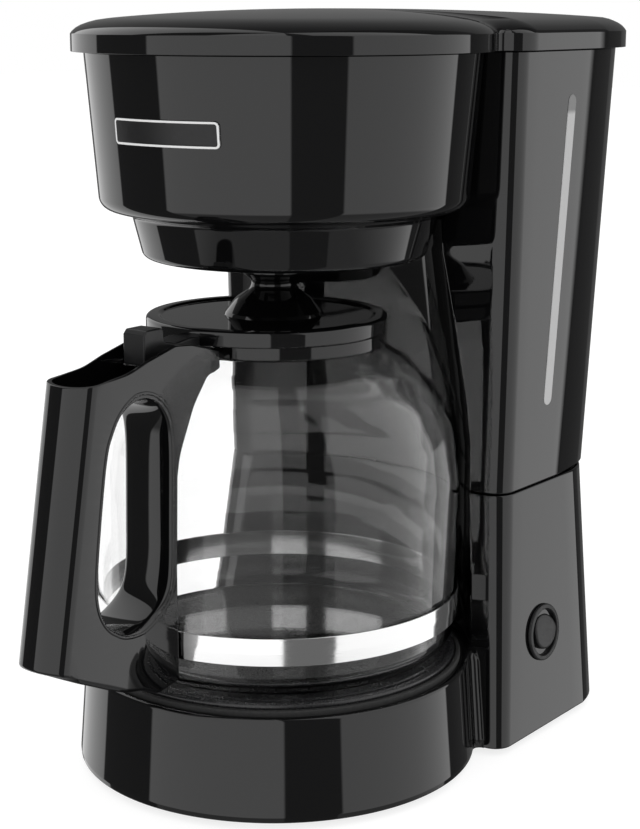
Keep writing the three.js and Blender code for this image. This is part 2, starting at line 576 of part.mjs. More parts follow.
function makeDripStop() {
  const { r, low, high } = DRIP_CAP;
  const wall = 1.6;
  const shell = [[r - wall, low], [r, low], [r, high], [0, high], [0, high - wall], [r - wall, high - wall]];
  let cap = solid(turned(shell, { sides: SMALL_ROUND }));
  for (const turn of [0, Math.PI / 2]) {
    const window = block([-20, 20], [-5, 5], [low + 2, low + 9]).rotateZ(turn);
    cap = cap.subtract(solid(window));
  }
  add('drip_stop_cap', cap, SATIN_BLACK);
  const stem = [[0, 209.8], [3.6, 209.8], [5.2, 210.8], [5.2, 212], [3.2, 213], [3.2, 221.8], [7, 221.8],
    [7, 223.4], [3.2, 223.4], [3.2, 226.5], [0, 226.5]];
  add('drip_stop_stem', turned(stem, { sides: SMALL_ROUND }), SATIN_BLACK);
  const seal = [[3.6, 219.9], [9.2, 219.9], [9.2, 221.3], [3.6, 221.3]];
  add('drip_stop_seal', turned(seal, { sides: SMALL_ROUND }), SILICONE);
  class Coil extends THREE.Curve {
    getPoint(t) {
      const turns = 4;
      const angle = t * turns * Math.PI * 2;
      return new THREE.Vector3(5 * Math.cos(angle), 5 * Math.sin(angle), 224.4 + t * 9);
    }
  }
  add('drip_stop_spring', tube(new Coil(), 0.45, 0, 40, 4), PLAIN_STEEL);
}

// ---------- carafe ----------
function makeGlass() {
  const inner = GLASS.slice(1).map(([r, z]) => [r - GLASS_WALL, z]).reverse();
  inner.splice(0, 2, [NECK_R - 2.1, NECK_TOP_Z], [NECK_R - 2.1, 178.2], [46, 174.6]);
  inner.splice(-1, 1, [67.6, 53.4], [63, 52]);
  const profile = [[0, GLASS_BOTTOM_Z], ...GLASS, [NECK_R, 179], [NECK_R, NECK_TOP_Z], ...inner, [0, 52]];
  add('carafe_glass', turned(profile, { y: CARAFE_Y, sides: CARAFE_ROUND }), CLEAR_GLASS);
}

function makeCollarAndBand() {
  const collar = [[NECK_R + GAP, 179.4], [44, 177.9], [COLLAR_R, 178.4], [COLLAR_R, 182.4],
    [COLLAR_R - 0.6, NECK_TOP_Z], [NECK_R + GAP, NECK_TOP_Z]];
  add('carafe_collar', turned(collar, { y: CARAFE_Y, sides: CARAFE_ROUND }), SATIN_BLACK);
  const [low, high] = BAND_Z;
  const [inner, outer] = BAND_R;
  const hoop = [[inner, low], [outer, low], [outer, high], [inner, high]];
  const ring = solid(turned(hoop, { y: CARAFE_Y, sides: CARAFE_ROUND }));
  const lug = solid(block([-5, 5], [-90, CARAFE_Y - inner - 0.2], [65.2, 74]));
  const hole = solid(bar('z', 1.9, 60, 80, [0, LUG_SCREW_Y], 12));
  add('carafe_band', ring.add(lug).subtract(hole), POLISHED_STEEL);
}

// side view of the handle, as [y, z]: outer grip, top, then down beside the glass
const HANDLE_OUTLINE = [[-142.5, 75.7], [-124, 177.5], [-107.4, 180], [-97.4, 183.1], [-89.7, 185.3],
  [-82, 187], [-72.8, 186.2], [-56.6, 182], [-56.4, 174.8], [-58.5, 173.8], [-61, 174.2], [-65.5, 171],
  [-71.5, 163.4], [-76.2, 154.9], [-80.2, 145.3], [HANDLE_INNER_Y, 134], [HANDLE_INNER_Y, 56], [-95, 54.1],
  [-103.6, 58], [-112.8, 59.9], [-121.3, 64], [-130.9, 69.1]];
const FINGER_HOLE = [[-120.5, 153], [-123.5, 136.5], [-127.6, 107.3], [-127.3, 98.5], [-125.2, 91.8],
  [-120.5, 86], [-114.4, 83.1], [-105.5, 83.7], [-95.2, 88.1], [-89.8, 93], [-88, 101.1], [-87.6, 119],
  [-87, 136.8], [-86.8, 150.1], [-87.8, 158.5], [-91.6, 164.6], [-97.8, 168.5], [-105.4, 168.5],
  [-112.8, 165.2], [-117.9, 159.3]];

// an outline drawn in the YZ plane, given thickness along X
function sidePlate(outline, holes, half) {
  const toVectors = (points) => points.map(([y, z]) => new THREE.Vector2(y, z));
  const shape = new THREE.Shape(toVectors(outline));
  for (const hole of holes) shape.holes.push(new THREE.Path(toVectors(hole)));
  const plate = new THREE.ExtrudeGeometry(shape, { depth: 2 * half, bevelEnabled: false });
  return plate.translate(0, 0, -half).rotateX(Math.PI / 2).rotateZ(Math.PI / 2);
}

function makeHandle() {
  const { half, y, floorZ } = HANDLE_SLOT;
  const slot = block([-half, half], y, [floorZ, 200]);
  const pocket = block([-5.4, 5.4], [-90.5, -70], [64.7, 74.5]);
  const clearOf = (radius, low, high) => {
    const post = toAxis([[radius + GAP, low], [radius + GAP, high]]);
    return solid(turned(post, { y: CARAFE_Y, sides: CARAFE_ROUND }));
  };
  const handle = solid(sidePlate(HANDLE_OUTLINE, [FINGER_HOLE], HANDLE_HALF))
    .subtract(solid(slot)).subtract(solid(pocket))
    .subtract(clearOf(BAND_R[1], 40, 130))
    .subtract(clearOf(COLLAR_R, 170, 190))
    .subtract(solid(bar('z', 2, 50, 66, [0, LUG_SCREW_Y])))
    .subtract(solid(bar('z', 3.9, 50, 58.6, [0, LUG_SCREW_Y], 16)))
    .subtract(solid(bar('x', 1.9, -20, 20, [CARAFE_PIN.y, CARAFE_PIN.z])));
  add('carafe_handle', handle, GLOSS_BLACK);
  add('band_screw', screw([0, LUG_SCREW_Y], 56.4, 58.2, 73, 3.4, 1.5), PLAIN_STEEL);
  const pin = bar('x', 1.5, -HANDLE_HALF + 0.4, HANDLE_HALF - 0.4, [CARAFE_PIN.y, CARAFE_PIN.z], 12);
  add('carafe_lid_pin', pin, PLAIN_STEEL);
}

function makeCarafeLid() {
  const [low, high] = CARAFE_LID_Z;
  const r = CARAFE_LID_R;
  const rim = [[r - 1, low], [r, low + 1], [r, high - 1.2], [r - 1.2, high]];
  const disc = solid(turned(toAxis(rim), { y: CARAFE_LID_Y, sides: CARAFE_ROUND }));
  const plug = solid(turned([[36.2, 176.4], [38, 176.4], [38, 185], [36.2, 185]],
    { y: CARAFE_Y, sides: CARAFE_ROUND }));
  const dome = [[0, high - 1], [19.7, high - 1], [17, 193.1], [11.5, 197.1], [8.8, 201.2], [10, 204.1],
    [13, 206.1], [13, 207.7], [11.4, 207.7], [8, 205.1], [0, 203.7]];
  const wide = [-LEVER.half, LEVER.half];
  const arm = solid(block(wide, LEVER.y, LEVER.z));
  const thumb = solid(block(wide, [LEVER.y[0], LEVER.thumbY], [LEVER.z[0], LEVER.thumbZ]));
  const lid = disc.add(plug).add(solid(turned(dome, { y: -7.5, sides: 16 }))).add(arm).add(thumb)
    .subtract(solid(bar('z', 2.5, 170, 210, [0, -7.5])))
    .subtract(solid(bar('x', 1.9, -20, 20, [CARAFE_PIN.y, CARAFE_PIN.z])));
  add('carafe_lid', lid, SATIN_BLACK);
}

// ---------- power switch, set square to the sloping right-hand wall ----------
const WALL_SLOPE = Math.atan2(BASE_FOOT.half - BASE_SEAM.half, BASE_SEAM.z - BASE_FOOT.z);
const SWITCH_X = sectionAt(BASE_FOOT, BASE_SEAM, SWITCH_Z).half;

// puts a shape made about the origin, facing +X, on the wall
const onWall = (geometry) => geometry.rotateY(-WALL_SLOPE).translate(SWITCH_X, SWITCH_Y, SWITCH_Z);

function switchTurned(points) {
  const profile = points.map(([r, out]) => new THREE.Vector2(r, out));
  if (points[0][0] > 0) profile.push(profile[0].clone());
  return onWall(new THREE.LatheGeometry(profile, 24).rotateZ(-Math.PI / 2));
}

function makeSwitch() {
  const bezel = [[9.8, -8], [10.5, -8], [10.5, 0.3], [SWITCH_BEZEL_R, 0.3], [SWITCH_BEZEL_R - 0.4, 1.3],
    [10.6, 1.6], [9.8, 1]];
  add('switch_bezel', switchTurned(bezel), SATIN_BLACK);

  const face = new THREE.Shape();
  face.absellipse(0, 0, 7.6, 8.5, 0, Math.PI * 2);
  const slab = new THREE.ExtrudeGeometry(face, { depth: 8, bevelEnabled: false, curveSegments: 14 });
  slab.translate(0, 0, -4.5).rotateY(Math.PI / 2);
  const tilt = THREE.MathUtils.degToRad(ROCKER_TILT);
  let rocker = solid(slab);
  for (const way of [-1, 1]) {
    // each half of the face slopes back from the middle
    const cutter = block([0, 12], [-12, 12], [-14, 14]).rotateY(way * tilt);
    rocker = rocker.subtract(solid(cutter.translate(2.4, 0, 0)).intersect(
      solid(block([-12, 12], [-12, 12], way > 0 ? [-14, 0] : [0, 14]))));
  }
  const leaned = surface(rocker).translate(ROCKER_PIVOT_DEPTH, 0, 0).rotateY(-tilt)
    .translate(-ROCKER_PIVOT_DEPTH, 0, 0);
  add('switch_rocker', onWall(leaned), GLOSS_BLACK);

  let body = solid(block([-25, -8.6], [-10, 10], [-10.5, 10.5]));
  for (const z of [-6, 0, 6]) body = body.add(solid(block([-32, -24], [-2.4, 2.4], [z - 0.4, z + 0.4])));
  add('switch_body', onWall(surface(body)), SATIN_BLACK);
}

makeBrewHead();
makeTower();
makeWindow();
makeTank();
makeBadge();
makeLid();
makeTray();
makeHousing();
makeGland();
makeBottomCover();
makePlate();
makeHeater();
makeWaterPath();
makeBasket();
makeDripStop();
makeGlass();
makeCollarAndBand();
makeHandle();
makeCarafeLid();
makeSwitch();

export default coffeeMaker;
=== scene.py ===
"""Looks of the drip coffee maker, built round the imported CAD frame.

Lengths are millimetres in the row frame: +Z up, the front at -Y, the right-hand side at +X.
"""
import math

import bmesh
import bpy
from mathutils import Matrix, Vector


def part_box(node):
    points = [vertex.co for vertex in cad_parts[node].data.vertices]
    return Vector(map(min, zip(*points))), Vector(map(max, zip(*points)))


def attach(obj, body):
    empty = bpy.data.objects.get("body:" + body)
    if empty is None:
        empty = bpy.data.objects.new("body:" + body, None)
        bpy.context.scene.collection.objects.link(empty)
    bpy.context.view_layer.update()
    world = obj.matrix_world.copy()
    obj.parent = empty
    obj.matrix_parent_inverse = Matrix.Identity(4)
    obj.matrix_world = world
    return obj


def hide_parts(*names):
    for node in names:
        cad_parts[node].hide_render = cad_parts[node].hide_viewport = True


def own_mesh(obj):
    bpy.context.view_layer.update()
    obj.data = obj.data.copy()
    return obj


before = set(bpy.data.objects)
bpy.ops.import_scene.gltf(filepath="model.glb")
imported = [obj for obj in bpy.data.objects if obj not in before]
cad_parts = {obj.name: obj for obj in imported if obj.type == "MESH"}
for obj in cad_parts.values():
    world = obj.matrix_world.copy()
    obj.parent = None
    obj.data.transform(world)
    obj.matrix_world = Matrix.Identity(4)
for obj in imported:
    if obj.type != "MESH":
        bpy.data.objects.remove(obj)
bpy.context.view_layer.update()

MM = 0.001
TURN = 2 * math.pi


def span(node, axis):
    """Lowest and highest coordinate of a CAD node along an axis, in millimetres."""
    low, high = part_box(node)
    return low[axis] / MM, high[axis] / MM


def middle(node, axis):
    low, high = span(node, axis)
    return (low + high) / 2


X, Y, Z = 0, 1, 2
BREW_Y = middle("brew_head_shell", Y)  # vertical axis of the brew head
CARAFE_Y = middle("warming_plate", Y)  # vertical axis of the drum, plate and carafe
WALL = 2.5

# Tower sections: height, half width, front and rear plane, front corner radius, rear corner reach in x and y
TOWER_TOP = dict(z=293.4, half=78.5, front=BREW_Y + 49.6, rear=BREW_Y + 151, front_r=9,
                 reach_x=14, reach_y=38)
TOWER_SEAM = dict(z=110.7, half=74.9, front=BREW_Y + 50.6, rear=BREW_Y + 133, front_r=9.5,
                  reach_x=10, reach_y=36)
BASE_SEAM = dict(TOWER_SEAM, z=110.1, rear=BREW_Y + 132.6, reach_x=14, reach_y=22)
BASE_FOOT = dict(z=3.0, half=83.9, front=BREW_Y + 39, rear=BREW_Y + 132.6, front_r=8,
                 reach_x=14, reach_y=22)
REAR_CREASE = 20  # degrees left out where the rear corner's ellipse starts, which makes a slight crease


# ---------- shape helpers ----------
def filleted(points, steps=6, closed=False):
    """A path through (a, b, radius) points with each corner rounded by an arc of its radius."""
    path = []
    count = len(points)
    for i, (a, b, radius) in enumerate(points):
        ends = not closed and i in (0, count - 1)
        if ends or not radius:
            path.append((a, b))
            continue
        pa, pb = points[i - 1][:2]
        na, nb = points[(i + 1) % count][:2]
        ua, ub = pa - a, pb - b
        va, vb = na - a, nb - b
        lu, lv = math.hypot(ua, ub), math.hypot(va, vb)
        ua, ub, va, vb = ua / lu, ub / lu, va / lv, vb / lv
        half_angle = math.acos(max(-1, min(1, ua * va + ub * vb))) / 2
        back = min(radius / math.tan(half_angle), lu * 0.49, lv * 0.49)
        r = back * math.tan(half_angle)
        ma, mb = ua + va, ub + vb
        lm = math.hypot(ma, mb)
        reach = r / math.sin(half_angle)
        ca, cb = a + ma / lm * reach, b + mb / lm * reach
        start = math.atan2(b + ub * back - cb, a + ua * back - ca)
        stop = math.atan2(b + vb * back - cb, a + va * back - ca)
        swing = (stop - start + math.pi) % TURN - math.pi
        for n in range(steps + 1):
            t = start + swing * n / steps
            path.append((ca + r * math.cos(t), cb + r * math.sin(t)))
    return path


SHARP_EDGE = math.radians(35)


def finished(name, mesh, material, body, nodes=(), bevel=0):
    """Makes the object, rounds its edges, hangs it on its body and hides the CAD nodes that it stands for."""
    piece = bpy.data.objects.new(name, mesh)
    bpy.context.scene.collection.objects.link(piece)
    mesh.materials.append(material)
    if bevel:
        edge = piece.modifiers.new("rounded_edges", "BEVEL")
        edge.width = bevel * MM
        edge.segments = 3
        edge.limit_method = "ANGLE"
        edge.angle_limit = SHARP_EDGE
        edge.harden_normals = True
    normals = piece.modifiers.new("even_shading", "WEIGHTED_NORMAL")
    normals.keep_sharp = True
    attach(piece, body)
    if nodes:
        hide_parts(*nodes)
    return piece


def mesh_from(bm, smooth=True):
    bmesh.ops.remove_doubles(bm, verts=bm.verts, dist=1e-6)
    bmesh.ops.recalc_face_normals(bm, faces=bm.faces)
    for face in bm.faces:
        face.smooth = smooth
    mesh = bpy.data.meshes.new("mesh")
    bm.to_mesh(mesh)
    bm.free()
    return mesh


def add_skin(bm, rings, loop=False):
    """Joins rings of equal count with quads. A loop joins the last ring to the first and has no caps."""
    rows = [[bm.verts.new((x * MM, y * MM, z * MM)) for x, y, z in ring] for ring in rings]
    count = len(rings[0])
    pairs = list(zip(rows, rows[1:])) + ([(rows[-1], rows[0])] if loop else [])
    for low, high in pairs:
        for i in range(count):
            j = (i + 1) % count
            bm.faces.new((low[i], low[j], high[j], high[i]))
    if not loop:
        bm.faces.new(rows[0])
        bm.faces.new(rows[-1])


def add_turned(bm, profile, y=0, x=0, sides=144, loop=True):
    """Turns a path of (radius, z) about a vertical axis. Points on the axis become poles."""
    columns = []
    for n in range(sides):
        t = TURN * n / sides
        columns.append([bm.verts.new(((x + r * math.sin(t)) * MM, (y - r * math.cos(t)) * MM, z * MM))
                        for r, z in profile])
    steps = len(profile) if loop else len(profile) - 1
    for n in range(sides):
        here, there = columns[n], columns[(n + 1) % sides]
        for i in range(steps):
            j = (i + 1) % len(profile)
            on_axis = [profile[i][0] < 1e-6, profile[j][0] < 1e-6]
            if all(on_axis):
                continue
            corners = [here[i], there[i], there[j], here[j]]
            if on_axis[0]:
                corners = [here[i], there[j], here[j]]
            elif on_axis[1]:
                corners = [here[i], there[i], here[j]]
            bm.faces.new(corners)


def turned(name, profile, material, body, nodes=(), y=0, x=0, sides=144, loop=True, bevel=0):
    bm = bmesh.new()
    add_turned(bm, profile, y, x, sides, loop)
    return finished(name, mesh_from(bm), material, body, nodes, bevel)


def add_block(bm, xs, ys, zs):
    rings = [[(xs[0], ys[0], z), (xs[1], ys[0], z), (xs[1], ys[1], z), (xs[0], ys[1], z)] for z in zs]
    add_skin(bm, rings)


def blended(low, high, z):
    t = (z - low["z"]) / (high["z"] - low["z"])
    return {key: low[key] + (high[key] - low[key]) * t for key in low}


def table(points, z):
    """Straight-line value at z from (z, value) points in rising order."""
    for (z0, v0), (z1, v1) in zip(points, points[1:]):
        if z <= z1:
            return v0 + (v1 - v0) * max(0, z - z0) / (z1 - z0)
    return points[-1][1]


def arc(cx, cy, rx, ry, start, stop, steps):
    """Points of an elliptical arc, both ends included, angles in degrees."""
    angles = [math.radians(start + (stop - start) * n / steps) for n in range(steps + 1)]
    return [(cx + rx * math.cos(t), cy + ry * math.sin(t)) for t in angles]


def rear_corner(side, w, rear, rx, ry):
    """Rear corner in plan from the side wall to the rear wall, on +X or, run the other way, on -X."""
    t = math.radians(REAR_CREASE)
    ax, ay = rx / math.cos(t), ry / (1 - math.sin(t))
    if side > 0:
        return arc(w - rx, rear - ay, ax, ay, REAR_CREASE, 90, 20)
    return arc(-w + rx, rear - ay, ax, ay, 90, 180 - REAR_CREASE, 20)


# ---------- materials ----------
def shader(name, colour, roughness, metallic=0.0, **inputs):
    material = bpy.data.materials.new(name)
    material.use_nodes = True
    bsdf = material.node_tree.nodes["Principled BSDF"]
    bsdf.inputs["Base Color"].default_value = (*colour, 1)
    bsdf.inputs["Roughness"].default_value = roughness
    bsdf.inputs["Metallic"].default_value = metallic
    for key, value in inputs.items():
        bsdf.inputs[key.replace("_", " ")].default_value = value
    return material


def add_node(material, kind, **settings):
    node = material.node_tree.nodes.new(kind)
    for key, value in settings.items():
        setattr(node, key, value)
    return node


def noise(material, scale, detail=2.0, stretch=(1, 1, 1)):
    """Noise in the object's own coordinates, with scale counted per metre."""
    tree = material.node_tree
    place = add_node(material, "ShaderNodeTexCoord")
    stretched = add_node(material, "ShaderNodeMapping")
    stretched.inputs["Scale"].default_value = stretch
    texture = add_node(material, "ShaderNodeTexNoise")
    texture.inputs["Scale"].default_value = scale
    texture.inputs["Detail"].default_value = detail
    tree.links.new(place.outputs["Object"], stretched.inputs["Vector"])
    tree.links.new(stretched.outputs["Vector"], texture.inputs["Vector"])
    return texture.outputs["Fac"]


def drive_roughness(material, source, low, high):
    mapping = add_node(material, "ShaderNodeMapRange")
    mapping.inputs["From Min"].default_value = 0.3
    mapping.inputs["From Max"].default_value = 0.7
    mapping.inputs["To Min"].default_value = low
    mapping.inputs["To Max"].default_value = high
    tree = material.node_tree
    tree.links.new(source, mapping.inputs["Value"])
    tree.links.new(mapping.outputs["Result"], tree.nodes["Principled BSDF"].inputs["Roughness"])


def drive_bump(material, source, depth):
    """Raises the surface by the noise, depth in millimetres."""
    bump = add_node(material, "ShaderNodeBump")
    bump.inputs["Strength"].default_value = 1.0
    bump.inputs["Distance"].default_value = depth * MM
    tree = material.node_tree
    tree.links.new(source, bump.inputs["Height"])
    tree.links.new(bump.outputs["Normal"], tree.nodes["Principled BSDF"].inputs["Normal"])


def gloss_black_plastic():
    material = shader("gloss_black_plastic", (0.0025, 0.0025, 0.0027), 0.05, IOR=1.5)
    drive_roughness(material, noise(material, 220, 4), 0.015, 0.04)
    drive_bump(material, noise(material, 30, 1), 0.005)
    return material


def satin_black_plastic():
    material = shader("satin_black_plastic", (0.006, 0.006, 0.0065), 0.36, IOR=1.5, Specular_IOR_Level=0.38)
    drive_roughness(material, noise(material, 900, 3), 0.3, 0.42)
    drive_bump(material, noise(material, 2600, 2), 0.02)
    return material


def grey_plastic():
    material = shader("grey_tank_plastic", (0.05, 0.052, 0.055), 0.35, IOR=1.49)
    drive_roughness(material, noise(material, 500, 3), 0.3, 0.42)
    return material


def clear_glass():
    return shader("clear_glass", (0.97, 0.97, 0.97), 0.0, IOR=1.47, Transmission_Weight=1.0,
                  Specular_Tint=(0.5, 0.5, 0.5, 1))


def polished_steel():
    material = shader("polished_steel", (0.78, 0.78, 0.78), 0.1, 1.0)
    drive_roughness(material, noise(material, 90, 5, (1, 1, 30)), 0.06, 0.13)
    return material


def satin_steel():
    material = shader("satin_steel", (0.6, 0.6, 0.61), 0.28, 1.0)
    drive_roughness(material, noise(material, 160, 4, (1, 12, 12)), 0.22, 0.34)
    return material


def frosted_strip_painted_shade():
    """The level strip is pale up to a set height and greyer above it; the grey above is painted shade for the
    shadow in the window's recess at its upper end.
    """
    material = shader("frosted_strip_painted_shade", (0.42, 0.42, 0.42), 0.35, IOR=1.45)
    tree = material.node_tree
    place = add_node(material, "ShaderNodeTexCoord")
    parts = add_node(material, "ShaderNodeSeparateXYZ")
    step = add_node(material, "ShaderNodeValToRGB")
    scale = add_node(material, "ShaderNodeMapRange")
    scale.inputs["From Min"].default_value = (STRIP_SHADE_Z - 1) * MM
    scale.inputs["From Max"].default_value = (STRIP_SHADE_Z + 1) * MM
    step.color_ramp.elements[0].color = (0.42, 0.42, 0.42, 1)
    # painted shade: the darker grey above the line stands in for the shadow on the strip's upper end
    step.color_ramp.elements[1].color = (0.17, 0.17, 0.17, 1)
    tree.links.new(place.outputs["Object"], parts.inputs["Vector"])
    tree.links.new(parts.outputs["Z"], scale.inputs["Value"])
    tree.links.new(scale.outputs["Result"], step.inputs["Fac"])
    tree.links.new(step.outputs["Color"], tree.nodes["Principled BSDF"].inputs["Base Color"])
    return material


def pale_line():
    material = shader("pale_line", (0.72, 0.72, 0.72), 0.4)
    drive_roughness(material, noise(material, 600, 2), 0.35, 0.45)
    return material


def rubber():
    material = shader("black_rubber", (0.012, 0.012, 0.012), 0.75)
    drive_roughness(material, noise(material, 700, 3), 0.65, 0.85)
    drive_bump(material, noise(material, 1800, 3), 0.03)
    return material


def plate_enamel():
    material = shader("plate_coating", (0.012, 0.012, 0.013), 0.3)
    drive_roughness(material, noise(material, 1200, 4), 0.22, 0.38)
    drive_bump(material, noise(material, 3000, 2), 0.012)
    return material


def silicone():
    material = shader("silicone", (0.62, 0.59, 0.54), 0.5, Subsurface_Weight=0.15)
    drive_roughness(material, noise(material, 400, 3), 0.42, 0.58)
    return material


def phenolic():
    material = shader("phenolic", (0.09, 0.04, 0.02), 0.5)
    drive_roughness(material, noise(material, 900, 4), 0.4, 0.6)
    return material


def aluminium():
    material = shader("aluminium", (0.55, 0.56, 0.57), 0.4, 1.0)
    drive_roughness(material, noise(material, 300, 4, (1, 8, 1)), 0.32, 0.5)
    return material


# height on the level strip where its painted shade begins
STRIP_SHADE_Z = 267.7
GLOSS = gloss_black_plastic()
SATIN = satin_black_plastic()
GREY = grey_plastic()
GLASS = clear_glass()
CHROME = polished_steel()
STEEL = satin_steel()
STRIP = frosted_strip_painted_shade()
LINE = pale_line()
RUBBER = rubber()
ENAMEL = plate_enamel()
SILICONE = silicone()
PHENOLIC = phenolic()
ALUMINIUM = aluminium()


# ---------- tower ----------
BAY_RADII = [(3, 82), (130, 82), (152, 80), (211, 71.7), (226, 71), (233, 73.2), (293.4, 80)]
BAY_AXIS = [(3, CARAFE_Y), (224, CARAFE_Y), (233, BREW_Y), (293.4, BREW_Y)]


def tower_ring(section, inset, recess_r, recess_y):
    """Plan outline of the tower with its concave front, anticlockwise. All have the same count of points."""
    w = section["half"] - inset
    front = section["front"] + inset
    rear = section["rear"] - inset
    rx, ry = max(section["reach_x"] - inset, 1), max(section["reach_y"] - inset, 1)
    fr = max(section["front_r"] - inset, 0.3)
    r = recess_r + inset
    edge_x = math.sqrt(max(r * r - (front - recess_y) ** 2, 0))
    start = math.degrees(math.atan2(front - recess_y, edge_x))
    plan = arc(0, recess_y, r, r, 180 - start, start, 72)
    plan += [(edge_x + (w - fr - edge_x) * n / 4, front) for n in (1, 2, 3)]
    plan += arc(w - fr, front + fr, fr, fr, -90, 0, 8)
    plan += [(w, front + fr + (rear - ry - front - fr) * n / 6) for n in range(1, 6)]
    plan += rear_corner(1, w, rear, rx, ry)
    plan += [((w - rx) * (1 - n / 4), rear) for n in range(1, 8)]
    plan += rear_corner(-1, w, rear, rx, ry)
    plan += [(-w, rear - ry + (front + fr - rear + ry) * n / 6) for n in range(1, 6)]
    plan += arc(-w + fr, front + fr, fr, fr, 180, 270, 8)
    plan += [(-w + fr + (w - fr - edge_x) * n / 4, front) for n in (1, 2, 3)]
    return [(x, y, section["z"]) for x, y in plan]


def bay_ring(low, high, z, inset):
    return tower_ring(blended(low, high, z), inset, table(BAY_RADII, z), table(BAY_AXIS, z))


def spread(low, high, count, extra=()):
    heights = [low + (high - low) * n / count for n in range(count + 1)]
    return sorted(set(heights) | set(extra))


def make_tower():
    low, high = TOWER_SEAM["z"], TOWER_TOP["z"]
    heights = spread(low, high, 16, (130, 152, 211, 224, 226, 229, 233))
    outside = [bay_ring(TOWER_SEAM, TOWER_TOP, z, 0) for z in heights]
    inside = [bay_ring(TOWER_SEAM, TOWER_TOP, z, WALL) for z in reversed(heights)]
    bm = bmesh.new()
    add_skin(bm, outside + inside, loop=True)
    for side in (-1, 1):
        add_ear(bm, side)
    finished("tower_housing", mesh_from(bm), GLOSS, "body", ["tower_shell"], bevel=0.6)


HINGE_Y = middle("lid_hinge_pin_left", Y)
HINGE_Z = middle("lid_hinge_pin_left", Z)
EAR_SPAN = (30, 38)
EAR_FOOT_Z = 284
KNUCKLE_SPAN = (20, 29.4)
KNUCKLE_R = 3.2


def add_ear(bm, side):
    """Hinge ear on the tower's rear wall: a rib with a round eye on top."""
    rib = TOWER_TOP["rear"] - 1.6
    eye = arc(HINGE_Y, HINGE_Z, KNUCKLE_R, KNUCKLE_R, -30, 180, 14)
    outline = [(rib, EAR_FOOT_Z), (HINGE_Y - 1.5, EAR_FOOT_Z), (HINGE_Y + 2.2, 290)] + eye + [(rib, HINGE_Z)]
    add_skin(bm, [[(side * x, y, z) for y, z in outline] for x in EAR_SPAN])


# ---------- brew head ----------
BOWL_RIM_Z, BOWL_RIM_R = 293.4, 79.5
BOWL_FOOT_Z, BOWL_FOOT_R = 232.6, 74.6  # where the bowl's side would meet the step down to the cone
BOWL_OUTSIDE = [(14, 211.8, 0), (57.5, 211.8, 3.5), (61.9, 229.3, 2.2), (BOWL_FOOT_R, BOWL_FOOT_Z, 5.5),
                (BOWL_RIM_R, BOWL_RIM_Z, 0)]
BOWL_INSIDE = [(BOWL_RIM_R - WALL, BOWL_RIM_Z, 0), (72.1, 235.6, 4), (59.2, 232, 1.5), (54.8, 213.2, 3),
               (14, 213.2, 0)]


def make_brew_head():
    profile = filleted(BOWL_OUTSIDE, steps=10) + filleted(BOWL_INSIDE, steps=6)
    turned("brew_head", profile, GLOSS, "body", ["brew_head_shell"], y=BREW_Y, bevel=0.4)


BADGE_HALF = (25.2, 4.9)
BADGE_CORNER = 1.8
BADGE_SHIFT = 2.2  # round the bowl, towards +X
BADGE_Z = 264.9
BADGE_LINE = 0.8
BADGE_PROUD = 0.9


def on_bowl(a, b, proud):
    """A point of the badge, across and up from its centre, proud of the brew head's curved skin."""
    z = BADGE_Z + b
    r = BOWL_RIM_R - (BOWL_RIM_Z - z) * (BOWL_RIM_R - BOWL_FOOT_R) / (BOWL_RIM_Z - BOWL_FOOT_Z) + proud
    t = (a + BADGE_SHIFT) / r
    return r * math.sin(t), BREW_Y - r * math.cos(t), z


def badge_outline(inset):
    """The rounded rectangle of the badge, drawn in by inset."""
    half_a, half_b, r = BADGE_HALF[0] - inset, BADGE_HALF[1] - inset, BADGE_CORNER - inset
    straight = half_a - r
    path = arc(straight, half_b - r, r, r, 0, 90, 8)
    path += [(straight * (1 - n / 12), half_b) for n in range(1, 24)]
    path += arc(-straight, half_b - r, r, r, 90, 180, 8)
    path += arc(-straight, r - half_b, r, r, 180, 270, 8)
    path += [(straight * (n / 12 - 1), -half_b) for n in range(1, 24)]
    return path + arc(straight, r - half_b, r, r, 270, 360, 8)


def make_badge():
    """Blank badge that follows the curve of the brew head, with a thin pale line round its edge."""
    half_a, half_b, r = BADGE_HALF[0], BADGE_HALF[1], BADGE_CORNER
    columns = [half_a - r * (1 - math.sin(math.pi / 2 * n / 6)) for n in range(6, -1, -1)]
    columns += [(half_a - r) * (1 - n / 12) for n in range(1, 24)]
    columns += [-a for a in reversed(columns[:7])]
    rings = []
    for a in columns:
        over = max(abs(a) - half_a + r, 0)
        reach = half_b - r + math.sqrt(max(r * r - over * over, 0))
        face = [on_bowl(a, reach * (n / 3 - 1), BADGE_PROUD) for n in range(7)]
        rings.append(face + [on_bowl(a, reach, 0.1), on_bowl(a, -reach, 0.1)])
    bm = bmesh.new()
    add_skin(bm, rings)
    finished("blank_badge", mesh_from(bm), SATIN, "body", ["front_badge"])
    bm = bmesh.new()
    low, high = BADGE_PROUD - 0.4, BADGE_PROUD + 0.1
    levels = ((0, low), (0, high), (BADGE_LINE, high), (BADGE_LINE, low))
    rings = [[on_bowl(a, b, proud) for a, b in badge_outline(inset)] for inset, proud in levels]
    add_skin(bm, rings, loop=True)
    finished("badge_line", mesh_from(bm), LINE, "body")


# ---------- main lid ----------
LID_R = 84.45
LID_PLAN = dict(half=82.5, front=BREW_Y + 45.6, rear=BREW_Y + 155, corner=13.0, reach_x=16, reach_y=40)
LID_NOTCH = 3.0  # radius of the fillet where the round front meets the straight sides
LID_MIDDLE = BREW_Y + 30  # the rings of the crown shrink towards this
LID_RIM = [(9.5, 293.5, 0), (0, 293.5, 0.2), (0, 300.4, 0.5), (0.8, 301.4, 0), (2.2, 302.6, 0),
           (4.2, 303.7, 0), (7, 304.7, 0), (10, 305.5, 0), (14, 306.1, 0)]  # as inset, height and fillet
LID_CROWN = 3.85  # rise of the crown above the rim's last ring
LID_INNER_Z = 302.6


